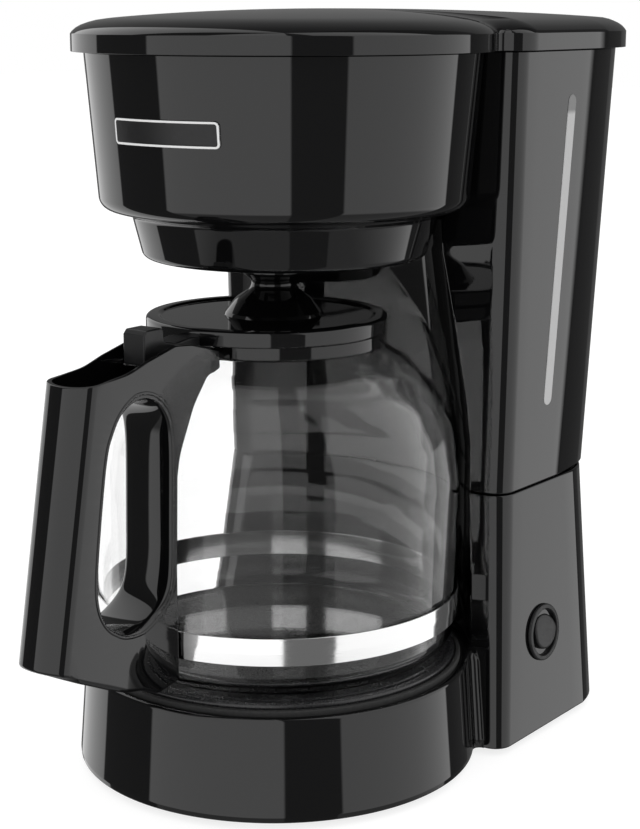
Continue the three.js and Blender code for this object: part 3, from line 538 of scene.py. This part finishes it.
def lid_ring(inset, z, scale=1.0):
    """Plan outline of the lid, a circle joined to a rounded rectangle, drawn in by inset and scaled."""
    r = LID_R - inset
    w = LID_PLAN["half"] - inset
    front, rear = LID_PLAN["front"] + inset, LID_PLAN["rear"] - inset
    corner = max(LID_PLAN["corner"] - inset, 0.6)
    notch = LID_NOTCH + inset
    rx, ry = max(LID_PLAN["reach_x"] - inset, 2), max(LID_PLAN["reach_y"] - inset, 2)
    corner_x, corner_y = w - corner, front + corner
    apart = math.hypot(corner_x, corner_y - BREW_Y)
    ux, uy = corner_x / apart, (corner_y - BREW_Y) / apart
    along = ((r + notch) ** 2 - (corner + notch) ** 2 + apart ** 2) / (2 * apart)
    aside = math.sqrt(max((r + notch) ** 2 - along ** 2, 0))
    notch_x, notch_y = ux * along + uy * aside, BREW_Y + uy * along - ux * aside
    meet = math.degrees(math.atan2(notch_y - BREW_Y, notch_x))
    leave = math.degrees(math.atan2(corner_y - notch_y, corner_x - notch_x))
    plan = arc(0, BREW_Y, r, r, -180 - meet, meet, 96)
    plan += arc(notch_x, notch_y, notch, notch, 180 + meet, leave, 8)[1:]
    plan += arc(corner_x, corner_y, corner, corner, leave - 180, 0, 10)[1:]
    plan += [(w, corner_y + (rear - ry - corner_y) * n / 5) for n in range(1, 5)]
    plan += rear_corner(1, w, rear, rx, ry)
    plan += [((w - rx) * (1 - n / 4), rear) for n in range(1, 8)]
    plan += rear_corner(-1, w, rear, rx, ry)
    plan += [(-w, rear - ry + (corner_y - rear + ry) * n / 5) for n in range(1, 5)]
    plan += arc(-corner_x, corner_y, corner, corner, 180, 360 - leave, 10)
    plan += arc(-notch_x, notch_y, notch, notch, 180 - leave, -meet, 8)[1:-1]
    return [(x * scale, LID_MIDDLE + (y - LID_MIDDLE) * scale, z) for x, y in plan]


def make_lid():
    rings = []
    for scale in (0.02, 0.25, 0.5, 0.75, 0.9):
        rings.append(lid_ring(12, LID_INNER_Z + 2.5 * (1 - scale ** 2), scale))
    rings.append(lid_ring(12, LID_INNER_Z))
    rings.append(lid_ring(9.8, 300.5))
    rings += [lid_ring(inset, z) for inset, z in filleted(LID_RIM, steps=4)]
    last_inset, last_z = LID_RIM[-1][:2]
    for scale in (0.97, 0.92, 0.84, 0.75, 0.65, 0.55, 0.45, 0.35, 0.25, 0.15, 0.06):
        rings.append(lid_ring(last_inset, last_z + LID_CROWN * (1 - scale ** 2) ** 0.9, scale))
    bm = bmesh.new()
    add_skin(bm, rings)
    lid = finished("hinged_lid", mesh_from(bm), GLOSS, "lid", ["main_lid"])
    cut_away(lid, ear_gaps())
    make_knuckles()


def ear_gaps():
    """Blocks that leave room in the lid for the hinge ears."""
    bm = bmesh.new()
    for side in (-1, 1):
        xs = sorted((side * (EAR_SPAN[0] - 0.5), side * (EAR_SPAN[1] + 0.5)))
        add_block(bm, xs, (TOWER_TOP["rear"] - 3.2, TOWER_TOP["rear"] + 20), (285, 320))
    return mesh_from(bm, smooth=False)


def make_knuckles():
    bm = bmesh.new()
    for side in (-1, 1):
        eye = arc(HINGE_Y, HINGE_Z, KNUCKLE_R, KNUCKLE_R, 0, 345, 23)
        add_skin(bm, [[(side * x, y, z) for y, z in eye] for x in KNUCKLE_SPAN])
    finished("lid_knuckles", mesh_from(bm), GLOSS, "lid", bevel=0.3)


def cut_away(piece, cutter_mesh):
    """Cuts the cutter out of the piece for good."""
    cutter = bpy.data.objects.new("cutter", cutter_mesh)
    bpy.context.scene.collection.objects.link(cutter)
    cut = piece.modifiers.new("cut", "BOOLEAN")
    cut.operation = "DIFFERENCE"
    cut.object = cutter
    cut.solver = "EXACT"
    piece.modifiers.move(len(piece.modifiers) - 1, 0)
    bpy.context.view_layer.update()
    shaped = bpy.data.meshes.new_from_object(piece.evaluated_get(bpy.context.evaluated_depsgraph_get()))
    piece.modifiers.remove(piece.modifiers["cut"])
    piece.data = shaped
    bpy.data.objects.remove(cutter)


# ---------- base ----------
DRUM = [(72, 41, 0), (72, 43.2, 0), (77.7, 43.2, 0.3), (77.7, 44.4, 0.4), (80.6, 44.4, 2.6), (81.7, 30.8, 20),
        (83.7, 5.4, 2), (83.5, 3, 0.8), (81, 3, 0), (79.2, 30, 0), (78.6, 41, 0)]


def base_recess(z):
    """The tower's concave front is hidden in the drum up to the drum's top."""
    return table([(3, 81.5), (40, 79.8), (43.6, 80.4), (46.5, 82), (110.2, 82)], z)


def make_base():
    turned("base_drum", filleted(DRUM, steps=8), GLOSS, "body", y=CARAFE_Y, sides=192)
    heights = spread(BASE_FOOT["z"], BASE_SEAM["z"], 12, (40, 42, 43.6, 44.5, 45.5, 46.5, 50))
    outside = [tower_ring(blended(BASE_FOOT, BASE_SEAM, z), 0, base_recess(z), CARAFE_Y) for z in heights]
    inside = [tower_ring(blended(BASE_FOOT, BASE_SEAM, z), WALL, base_recess(z), CARAFE_Y)
              for z in reversed(heights)]
    bm = bmesh.new()
    add_skin(bm, outside + inside, loop=True)
    finished("lower_tower", mesh_from(bm), GLOSS, "body", ["lower_housing"], bevel=0.7)


NECK_R = 3.0
NECK_TOP = 43.6
NECK_DRUM_RADII = [(3, 83.5), (5.4, 83.7), (30.8, 81.7), (41, 81.0), (NECK_TOP, 79.8)]


def make_necks():
    """Small concave fillets that join the drum to the flat front of the lower tower."""
    for side in (-1, 1):
        rings = []
        for z in spread(BASE_FOOT["z"], NECK_TOP, 10):
            drum_r = table(NECK_DRUM_RADII, z)
            front = blended(BASE_FOOT, BASE_SEAM, z)["front"]
            cy = front - NECK_R
            cx = math.sqrt((drum_r + NECK_R) ** 2 - (cy - CARAFE_Y) ** 2)
            start = 180 + math.degrees(math.atan2(cy - CARAFE_Y, cx))
            curve = arc(cx, cy, NECK_R, NECK_R, start, 90, 10)
            curve += [(cx, front + 1.6), (cx - 5, front + 1.6)]
            rings.append([(side * x, y, z) for x, y in curve])
        bm = bmesh.new()
        add_skin(bm, rings)
        finished(f"drum_neck_{'right' if side > 0 else 'left'}", mesh_from(bm), GLOSS, "body")


PLATE = [(0, 49, 0), (70.5, 49, 1.5), (71.5, 48.4, 1), (73, 48.6, 1), (74.8, 47.6, 1.2), (74.8, 45.4, 0.4),
         (73.2, 45.4, 0), (73.2, 46.6, 0.5), (71.4, 47.5, 0), (0, 47.5, 0)]
GASKET = [(73, 43.6, 0.3), (77.3, 43.6, 0.3), (77.3, 46.6, 0.8), (75.3, 46.6, 0.6), (75.3, 44.9, 0),
          (73, 44.9, 0.2)]


def make_plate():
    plate = filleted(PLATE, steps=5)
    turned("warming_disc", plate, ENAMEL, "body", ["warming_plate"], y=CARAFE_Y, loop=False)
    ring = filleted(GASKET, steps=4, closed=True)
    turned("plate_gasket", ring, RUBBER, "body", ["plate_seal"], y=CARAFE_Y)


FOOT = [(0, 0, 0), (8, 0, 1), (7.8, 2.9, 0), (0, 2.9, 0)]


def make_feet():
    for name in ("foot_front_left", "foot_front_right", "foot_rear_left", "foot_rear_right"):
        turned(f"rubber_{name}", filleted(FOOT, steps=5), RUBBER, "body", [name],
               x=middle(name, X), y=middle(name, Y), sides=48, loop=False)


# ---------- level window ----------
WINDOW_LOW = (BREW_Y + 85, 144.1)
WINDOW_HIGH = (BREW_Y + 95.2, 275.1)
WINDOW_HALF = 3.2
WINDOW_RINGS = ((0, -3), (0, 0.05), (0.15, 0.22), (0.4, 0.3))  # inset, and how far out of the wall


def make_window():
    """Level strip with round ends, let into the sloping right-hand wall of the tower."""
    half = WINDOW_HALF
    (y0, z0), (y1, z1) = WINDOW_LOW, WINDOW_HIGH
    lean = math.atan2(y1 - y0, z1 - z0)
    length = math.hypot(y1 - y0, z1 - z0)
    outline = arc(0, length - half, half, half, 0, 180, 14) + arc(0, half, half, half, 180, 360, 14)
    bm = bmesh.new()
    rings = []
    for inset, proud in WINDOW_RINGS:
        ring = []
        for a, b in outline:
            a *= 1 - inset / half
            b += (length / 2 - b) * inset / (length / 2)
            y = y0 + a * math.cos(lean) + b * math.sin(lean)
            z = z0 - a * math.sin(lean) + b * math.cos(lean)
            ring.append((blended(TOWER_SEAM, TOWER_TOP, z)["half"] + proud, y, z))
        rings.append(ring)
    add_skin(bm, rings)
    finished("level_strip", mesh_from(bm), STRIP, "body", ["level_window"])


# ---------- switch ----------
WALL_SLOPE = math.atan2(BASE_FOOT["half"] - BASE_SEAM["half"], BASE_SEAM["z"] - BASE_FOOT["z"])
SWITCH_Y = middle("switch_bezel", Y)
SWITCH_Z = 45.2
SWITCH_X = blended(BASE_FOOT, BASE_SEAM, SWITCH_Z)["half"]
BEZEL = [(9.8, -8, 0), (10.5, -8, 0), (10.5, 0.2, 0), (12.5, 0.2, 0.2), (12.3, 1.5, 0.7), (10.4, 1.7, 0.5),
         (9.8, 0.6, 0.4)]


def on_wall(out, across, up):
    """A point given square to the sloping right-hand wall, out from it, across it and up it."""
    c, s = math.cos(WALL_SLOPE), math.sin(WALL_SLOPE)
    return SWITCH_X + out * c - up * s, SWITCH_Y + across, SWITCH_Z + out * s + up * c


def make_switch():
    sides = 72
    turns = [TURN * n / sides for n in range(sides)]
    profile = filleted(BEZEL, steps=5)
    rings = [[on_wall(out, r * math.cos(t), r * math.sin(t)) for t in turns] for r, out in profile]
    bm = bmesh.new()
    add_skin(bm, rings, loop=True)
    finished("switch_ring", mesh_from(bm), SATIN, "body", ["switch_bezel"])
    make_rocker()


ROCKER_TILT = math.radians(7)
ROCKER_PIVOT = -2.0  # out from the wall
ROCKER_HALF = (8.5, 7.6)
ROCKER_FACE = 2.4  # out from the wall at the middle
ROCKER_RINGS = ((0.5, 0), (0.86, 0), (0.95, 0.15), (1.0, 0.7), (1.0, 6.0))  # share of half sizes, depth


def on_rocker(out, across, up):
    """A point of the rocker, turned about its pivot so that the upper half is pressed in."""
    c, s = math.cos(-ROCKER_TILT), math.sin(-ROCKER_TILT)
    dx = out - ROCKER_PIVOT
    return on_wall(ROCKER_PIVOT + dx * c + up * s, across, -dx * s + up * c)


def make_rocker():
    """Oval rocker with a shallow V face."""
    sides = 64
    rings = []
    for share, back in ROCKER_RINGS:
        ring = []
        for n in range(sides):
            t = TURN * n / sides
            across, up = ROCKER_HALF[0] * share * math.cos(t), ROCKER_HALF[1] * share * math.sin(t)
            ring.append(on_rocker(ROCKER_FACE - abs(up) * math.tan(ROCKER_TILT) - back, across, up))
        rings.append(ring)
    bm = bmesh.new()
    add_skin(bm, rings)
    finished("rocker_button", mesh_from(bm), SATIN, "rocker", ["switch_rocker"])


# ---------- carafe ----------
GLASS_OUTSIDE = [(0, 49.4, 0), (67.5, 49.4, 4), (73.6, 54.5, 8), (75, 72, 60), (75.9, 122, 30),
                 (73.2, 143, 34), (66, 158.5, 30), (54.5, 171, 20), (42.6, 177.6, 3), (41, 183, 0)]
GLASS_INSIDE = [(38.9, 183, 0), (39.2, 176.4, 4), (52.8, 169, 20), (64, 157, 30), (71, 142.2, 34),
                (73.7, 122, 30), (72.8, 72, 60), (71.4, 56, 8), (66, 51.8, 5), (0, 51.8, 0)]
COLLAR = [(41.3, 183.1, 0), (41.3, 178.6, 0), (43.8, 175.9, 0.6), (45.6, 177.2, 0.9), (45.5, 182.2, 0.8),
          (44.6, 183.1, 0.4)]
BAND = [(75.35, 64.1, 0.1), (76.2, 64.1, 0.3), (76.35, 69.6, 30), (76.2, 75.2, 0.3), (75.35, 75.2, 0.1)]


def make_glass():
    profile = filleted(GLASS_OUTSIDE, steps=10) + filleted(GLASS_INSIDE, steps=10)
    turned("glass_jug", profile, GLASS, "carafe", ["carafe_glass"], y=CARAFE_Y, sides=160,
           loop=False)


def make_collar():
    profile = filleted(COLLAR, steps=5)
    turned("neck_collar", profile, GLOSS, "carafe", ["carafe_collar"], y=CARAFE_Y)


def make_band():
    profile = filleted(BAND, steps=6, closed=True)
    turned("steel_band", profile, CHROME, "carafe", ["carafe_band"], y=CARAFE_Y, sides=192)


# Side view of the handle as y from the brew axis, z and corner radius: its outline at mid width, and the edge
# of its flat side face. The two run point for point, with a quarter of an ellipse between them.
GRIP_MID = [(-149.9, 76.6, 1.5), (-131, 178.2, 0.6), (-107.4, 180.6, 40), (-97.4, 183.7, 20), (-82, 187.3, 6),
            (-72.8, 186.4, 10), (-56.6, 182, 0.8), (-56.2, 174.8, 0.8), (-59.5, 173.6, 2), (-63.4, 173.2, 6),
            (-71.5, 163.4, 30), (-80.2, 145.3, 30), (-83, 131, 20), (-83, 56, 2), (-95, 54, 5),
            (-103.6, 57.8, 8), (-112.8, 59.7, 12), (-123, 64, 20)]
GRIP_FACE = [(-142.9, 75.2, 1.5), (-124.1, 178.9, 0.6), (-107, 180.2, 30), (-97.2, 183.2, 20),
             (-82, 186.8, 6), (-72.8, 185.9, 10), (-57.2, 181.4, 0.8), (-56.8, 175.4, 0.8), (-59.9, 174.3, 2),
             (-64, 173.4, 6), (-72.4, 163, 30), (-81, 145.3, 30), (-83.8, 131, 20), (-83.8, 57, 2),
             (-95, 55.4, 5), (-103.2, 59.4, 8), (-112.2, 61.6, 12), (-121.8, 66.2, 20)]
FINGER_HOLE = [(-120.5, 153), (-123.5, 136.5), (-127.6, 107.3), (-127.3, 98.5), (-125.2, 91.8), (-120.5, 86),
               (-114.4, 83.1), (-105.5, 83.7), (-95.2, 88.1), (-89.8, 93), (-88, 101.1), (-87.6, 119),
               (-87, 136.8), (-86.8, 150.1), (-87.8, 158.5), (-91.6, 164.6), (-97.8, 168.5), (-105.4, 168.5),
               (-112.8, 165.2), (-117.9, 159.3)]
HOLE_FLARE = 2.2  # how much wider the hole is at the side faces, except along the outer grip
HANDLE_HALF = 12.0
HANDLE_SLOT = dict(half=10.6, y=(-122.5, -45), nose=7.2, z=(172.6, 200))
NOSE_DEPTH = 12.0  # how far across the rounding reaches on the outer grip
EDGE_DEPTH = 1.4  # and on every other outside edge
HOLE_DEPTH = 12.0  # and in the finger hole


def shifted(path):
    return [(a + BREW_Y, b) for a, b in path]


def paired(mid, face, steps):
    """Both side views as point lists of equal length, long straight stretches cut into even parts."""
    mid = shifted(filleted(mid, steps, closed=True))
    face = shifted(filleted(face, steps, closed=True))
    fine_mid, fine_face = [], []
    for i, here in enumerate(mid):
        there = mid[(i + 1) % len(mid)]
        parts = max(1, round(math.hypot(there[0] - here[0], there[1] - here[1]) / 4))
        for fine, path in ((fine_mid, mid), (fine_face, face)):
            (a, b), (c, d) = path[i], path[(i + 1) % len(path)]
            fine.extend((a + (c - a) * n / parts, b + (d - b) * n / parts) for n in range(parts))
    return fine_mid, fine_face


def nose_share(a, b):
    """1 on the outer grip, falling to 0 on the other edges of the handle."""
    (y0, z0), (y1, z1) = GRIP_MID[0][:2], GRIP_MID[1][:2]
    behind = a - BREW_Y - y0 - (b - z0) * (y1 - y0) / (z1 - z0)
    return max(0, min(1, (11 - behind) / 6))


def cornered(path):
    """The closed path smoothed by cutting its corners three times."""
    for _ in range(3):
        cut = []
        for i, (a, b) in enumerate(path):
            c, d = path[(i + 1) % len(path)]
            cut += [(a * 0.75 + c * 0.25, b * 0.75 + d * 0.25), (a * 0.25 + c * 0.75, b * 0.25 + d * 0.75)]
        path = cut
    return path


def flared(throat, by):
    """The finger hole's path widened, least along the outer grip and most beside the glass."""
    wide = moved_out(throat, by)
    shares = [max(0.15, min(1, (a - BREW_Y + 120) / 16)) for a, b in throat]
    return [(a + (c - a) * share, b + (d - b) * share) for (a, b), (c, d), share in zip(throat, wide, shares)]


def moved_out(path, by):
    """The closed path moved outwards by a distance, along each point's own normal."""
    area = sum(path[i - 1][0] * path[i][1] - path[i][0] * path[i - 1][1] for i in range(len(path)))
    sign = 1 if area > 0 else -1
    moved = []
    for i, (a, b) in enumerate(path):
        (pa, pb), (na, nb) = path[i - 1], path[(i + 1) % len(path)]
        da, db = na - pa, nb - pb
        length = math.hypot(da, db) or 1
        moved.append((a + sign * by * db / length, b - sign * by * da / length))
    return moved


def make_handle():
    outline = paired(GRIP_MID, GRIP_FACE, 6)
    throat = shifted(cornered(FINGER_HOLE))
    hole = (throat, flared(throat, HOLE_FLARE))
    mesh = handle_mesh(outline, hole)
    handle = finished("grip_handle", mesh, GLOSS, "carafe", ["carafe_handle"])
    cut_away(handle, lever_channel())
    for side in (-1, 1):
        lip = ring_bead(flared(throat, HOLE_FLARE + 1.6), side * HANDLE_HALF, 0.7)
        finished(f"finger_lip_{'right' if side > 0 else 'left'}", lip, GLOSS, "carafe")


def lever_channel():
    """The open channel in the handle's top, round at its outer end."""
    bm = bmesh.new()
    (y0, y1), zs, half = HANDLE_SLOT["y"], HANDLE_SLOT["z"], HANDLE_SLOT["half"]
    plan = arc(0, y0, half, HANDLE_SLOT["nose"], 180, 360, 24) + [(half, y1), (-half, y1)]
    add_skin(bm, [[(x, y + BREW_Y, z) for x, y in plan] for z in zs])
    return mesh_from(bm, smooth=False)


def ring_bead(path, x, radius):
    """A low oval bead round a closed path on a side face, half sunk in it."""
    sides = 12
    bm = bmesh.new()
    rings = []
    for n in range(sides):
        t = TURN * n / sides
        out = x + radius * 0.5 * math.sin(t)
        rings.append([(out, a, b) for a, b in moved_out(path, radius * math.cos(t))])
    add_skin(bm, rings, loop=True)
    return mesh_from(bm)


def add_quarter_skins(bm, mid, face, depths):
    """Quarter-ellipse skins from one side face over mid width to the other, and the rings of their points."""
    steps = 8
    rows = []
    for side in (-1, 1):
        order = range(steps + 1) if side < 0 else range(steps, -1, -1)
        for n in order:
            t = math.pi / 2 * n / steps
            share = math.sin(t)
            row = []
            for (ma, mb), (fa, fb), depth in zip(mid, face, depths):
                x = side * (HANDLE_HALF - depth * (1 - math.cos(t)))
                y, z = fa + (ma - fa) * share, fb + (mb - fb) * share
                row.append(bm.verts.new((x * MM, y * MM, z * MM)))
            rows.append(row)
    for low, high in zip(rows, rows[1:]):
        for i in range(len(low)):
            j = (i + 1) % len(low)
            bm.faces.new((low[i], low[j], high[j], high[i]))
    return rows


def handle_mesh(outline, hole):
    """The outside, the finger hole through it, and the two flat side faces between them."""
    bm = bmesh.new()
    edge_depths = [EDGE_DEPTH + (NOSE_DEPTH - EDGE_DEPTH) * nose_share(a, b) for a, b in outline[0]]
    skins = [add_quarter_skins(bm, *outline, edge_depths),
             add_quarter_skins(bm, *hole, [HOLE_DEPTH] * len(hole[0]))]
    for end in (0, -1):
        ends = [rows[end] for rows in skins]
        rim = [bm.edges.get((row[i - 1], row[i])) for row in ends for i in range(len(row))]
        bmesh.ops.triangle_fill(bm, use_beauty=True, edges=rim)
    return mesh_from(bm)


LID_DISC_Y = BREW_Y - 12
KNOB_Y = BREW_Y - 7.5
LID_DISC = [(0, 184.4, 0), (47.6, 184.4, 0), (47.6, 183.4, 0.4), (49, 183.4, 0.6), (49, 189.6, 1.6),
            (44, 189.8, 1.5), (42.6, 188.8, 1), (0, 188.8, 0)]
LID_DOME = [(20.5, 188.5, 0), (19.7, 190.1, 1.5), (15.5, 195.3, 8), (9.6, 199.3, 5), (8.8, 202.3, 4),
            (13, 205.9, 1), (13, 207.7, 0.6), (11.4, 207.7, 0.5), (8.6, 205.3, 2), (2.5, 204.1, 0.5),
            (2.5, 200.7, 0)]
LID_PLUG = [(36.2, 184.4, 0), (36.2, 176.4, 0.4), (38, 176.4, 0.4), (38, 184.4, 0)]


def make_carafe_lid():
    bm = bmesh.new()
    add_turned(bm, filleted(LID_DISC, steps=5), y=LID_DISC_Y, loop=False)
    add_turned(bm, filleted(LID_DOME, steps=6), y=KNOB_Y, sides=96, loop=False)
    add_turned(bm, filleted(LID_PLUG, steps=3), y=CARAFE_Y, loop=False)
    finished("jug_lid", mesh_from(bm), GLOSS, "carafe_cover", ["carafe_lid"])
    make_thumb_lever()


LEVER_HALF = 5.4
LEVER_SIDE = [(-92.2, 180, 0.8), (-52, 180, 0), (-52, 187, 0), (-66, 187.4, 3), (-74, 186.5, 5),
              (-81, 188, 2), (-81, 192.4, 1), (-82.4, 193.4, 0.8), (-90.5, 193.4, 1.2), (-92.2, 191.6, 1)]


def make_thumb_lever():
    """Lever that runs in the handle's channel from the lid over its pin to the raised thumb rest."""
    path = filleted(LEVER_SIDE, steps=4, closed=True)
    bm = bmesh.new()
    add_skin(bm, [[(x, a + BREW_Y, b) for a, b in path] for x in (-LEVER_HALF, LEVER_HALF)])
    finished("thumb_lever", mesh_from(bm), SATIN, "carafe_cover", bevel=0.7)


make_tower()
make_brew_head()
make_badge()
make_lid()
make_base()
make_necks()
make_plate()
make_feet()
make_window()
make_switch()
make_glass()
make_collar()
make_band()
make_handle()
make_carafe_lid()


# ---------- finishes of the CAD nodes that stay ----------
FINISHES = {
    SATIN: ["shower_tray", "filter_basket", "drip_stop_cap", "drip_stop_stem", "switch_body", "bottom_cover",
            "cord_gland", "check_valve"],
    GREY: ["water_tank"],
    STEEL: ["lid_hinge_pin_left", "lid_hinge_pin_right", "tray_screw_front", "tray_screw_rear",
            "base_screw_front_left", "base_screw_front_right", "base_screw_rear_left",
            "base_screw_rear_right", "bracket_screw", "band_screw", "carafe_lid_pin", "heater_bracket",
            "riser_tube", "drip_stop_spring"],
    ALUMINIUM: ["heating_element"],
    SILICONE: ["drip_stop_seal", "riser_grommet", "cold_hose", "hot_hose", "thermal_fuse"],
    PHENOLIC: ["thermostat"],
}
for material, names in FINISHES.items():
    for name in names:
        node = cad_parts[name]
        for slot in node.material_slots:
            slot.material = material


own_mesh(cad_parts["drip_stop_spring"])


# ---------- floor, light and camera ----------
CAMERA_AZIMUTH = 37.72  # of the camera's place about the brew head, from the front towards +X
CAMERA_DISTANCE = 750.5
CAMERA_HEIGHT = 310.4
AIM_AZIMUTH = 36.63
AIM_DOWN = 12.425
LENS = 80.3

# The studio as the gloss sees it: brightness at degrees of azimuth, straight between two stops
STUDIO = [(-180, 0.16), (-122, 0.16), (-121.6, 1.2), (-79.8, 1.2), (-79.3, 0.09), (-38.9, 0.13),
          (-38.5, 1.35), (41.3, 1.35), (41.7, 0.16), (73.8, 0.16), (74.2, 1.22), (125, 1.3), (153.3, 1.5),
          (153.8, 0.09), (180, 0.09)]
STUDIO_LOW = [(-180, 0.16), (-122, 0.16), (-121.6, 1.2), (-79.8, 1.2), (-79.3, 0.09), (-38.9, 0.13),
              (-38.5, 0.42), (41.3, 0.42), (41.7, 0.16), (73.8, 0.16), (74.2, 0.42), (153.3, 0.42),
              (153.8, 0.09), (180, 0.09)]
STUDIO_DROP = (-22, -32)  # elevations between which the upper ring of panels gives way to the lower one
STUDIO_MAX = 1.6


def make_floor():
    bm = bmesh.new()
    size, depth = 6000, 5
    add_block(bm, (-size, size), (-size, size), (0, -depth))
    mesh = mesh_from(bm, smooth=False)
    material = shader("pale_floor", (0.35, 0.35, 0.35), 0.9, Specular_IOR_Level=0.0,
                      Emission_Color=(1, 1, 1, 1), Emission_Strength=0.8)
    drive_roughness(material, noise(material, 3, 2), 0.85, 0.95)
    mesh.materials.append(material)
    floor = bpy.data.objects.new("floor", mesh)
    bpy.context.scene.collection.objects.link(floor)
    floor.visible_glossy = False


def panel_ring(tree, share, stops):
    """Colour of the studio round the horizon, where share runs from 0 to 1 over the full turn."""
    panels = tree.nodes.new("ShaderNodeValToRGB")
    ramp = panels.color_ramp.elements
    ramp[0].position, ramp[1].position = 0, 1
    for degrees, light in stops[1:-1]:
        ramp.new((degrees + 180) / 360).color = (light / STUDIO_MAX,) * 3 + (1,)
    for end in (0, -1):
        ramp[end].color = (stops[end][1] / STUDIO_MAX,) * 3 + (1,)
    tree.links.new(share, panels.inputs["Fac"])
    return panels.outputs["Color"]


def make_studio():
    """A white world in which only glossy rays see the studio's panels."""
    world = bpy.data.worlds.new("studio")
    bpy.context.scene.world = world
    world.use_nodes = True
    tree = world.node_tree
    nodes, links = tree.nodes, tree.links
    place = nodes.new("ShaderNodeTexCoord")
    parts = nodes.new("ShaderNodeSeparateXYZ")
    links.new(place.outputs["Generated"], parts.inputs["Vector"])
    flip = nodes.new("ShaderNodeMath")
    flip.operation = "MULTIPLY"
    flip.inputs[1].default_value = -1
    links.new(parts.outputs["Y"], flip.inputs[0])
    angle = nodes.new("ShaderNodeMath")
    angle.operation = "ARCTAN2"
    links.new(parts.outputs["X"], angle.inputs[0])
    links.new(flip.outputs["Value"], angle.inputs[1])
    share = nodes.new("ShaderNodeMapRange")
    share.inputs["From Min"].default_value = -math.pi
    share.inputs["From Max"].default_value = math.pi
    links.new(angle.outputs["Value"], share.inputs["Value"])
    rings = [panel_ring(tree, share.outputs["Result"], stops) for stops in (STUDIO, STUDIO_LOW)]
    fall = nodes.new("ShaderNodeMapRange")
    fall.inputs["From Min"].default_value = math.sin(math.radians(STUDIO_DROP[0]))
    fall.inputs["From Max"].default_value = math.sin(math.radians(STUDIO_DROP[1]))
    links.new(parts.outputs["Z"], fall.inputs["Value"])
    blend = nodes.new("ShaderNodeMix")
    blend.data_type = "RGBA"
    links.new(fall.outputs["Result"], blend.inputs["Factor"])
    links.new(rings[0], blend.inputs[6])
    links.new(rings[1], blend.inputs[7])
    glossy = nodes.new("ShaderNodeBackground")
    glossy.inputs["Strength"].default_value = STUDIO_MAX
    links.new(blend.outputs[2], glossy.inputs["Color"])
    plain = nodes.new("ShaderNodeBackground")
    plain.inputs["Color"].default_value = (1, 1, 1, 1)
    plain.inputs["Strength"].default_value = 1.0
    path = nodes.new("ShaderNodeLightPath")
    mix = nodes.new("ShaderNodeMixShader")
    links.new(path.outputs["Is Glossy Ray"], mix.inputs["Fac"])
    links.new(plain.outputs["Background"], mix.inputs[1])
    links.new(glossy.outputs["Background"], mix.inputs[2])
    links.new(mix.outputs["Shader"], nodes["World Output"].inputs["Surface"])


def make_camera():
    data = bpy.data.cameras.new("camera")
    camera = bpy.data.objects.new("camera", data)
    bpy.context.scene.collection.objects.link(camera)
    around = math.radians(CAMERA_AZIMUTH)
    camera.location = (CAMERA_DISTANCE * math.sin(around) * MM,
                       (BREW_Y - CAMERA_DISTANCE * math.cos(around)) * MM, CAMERA_HEIGHT * MM)
    camera.rotation_euler = (math.radians(90 - AIM_DOWN), 0, math.radians(AIM_AZIMUTH))
    data.lens = LENS
    data.sensor_width = 36
    data.clip_start, data.clip_end = 0.01, 50
    bpy.context.scene.camera = camera


make_floor()
make_studio()
make_camera()
bpy.context.scene.view_settings.view_transform = "Standard"
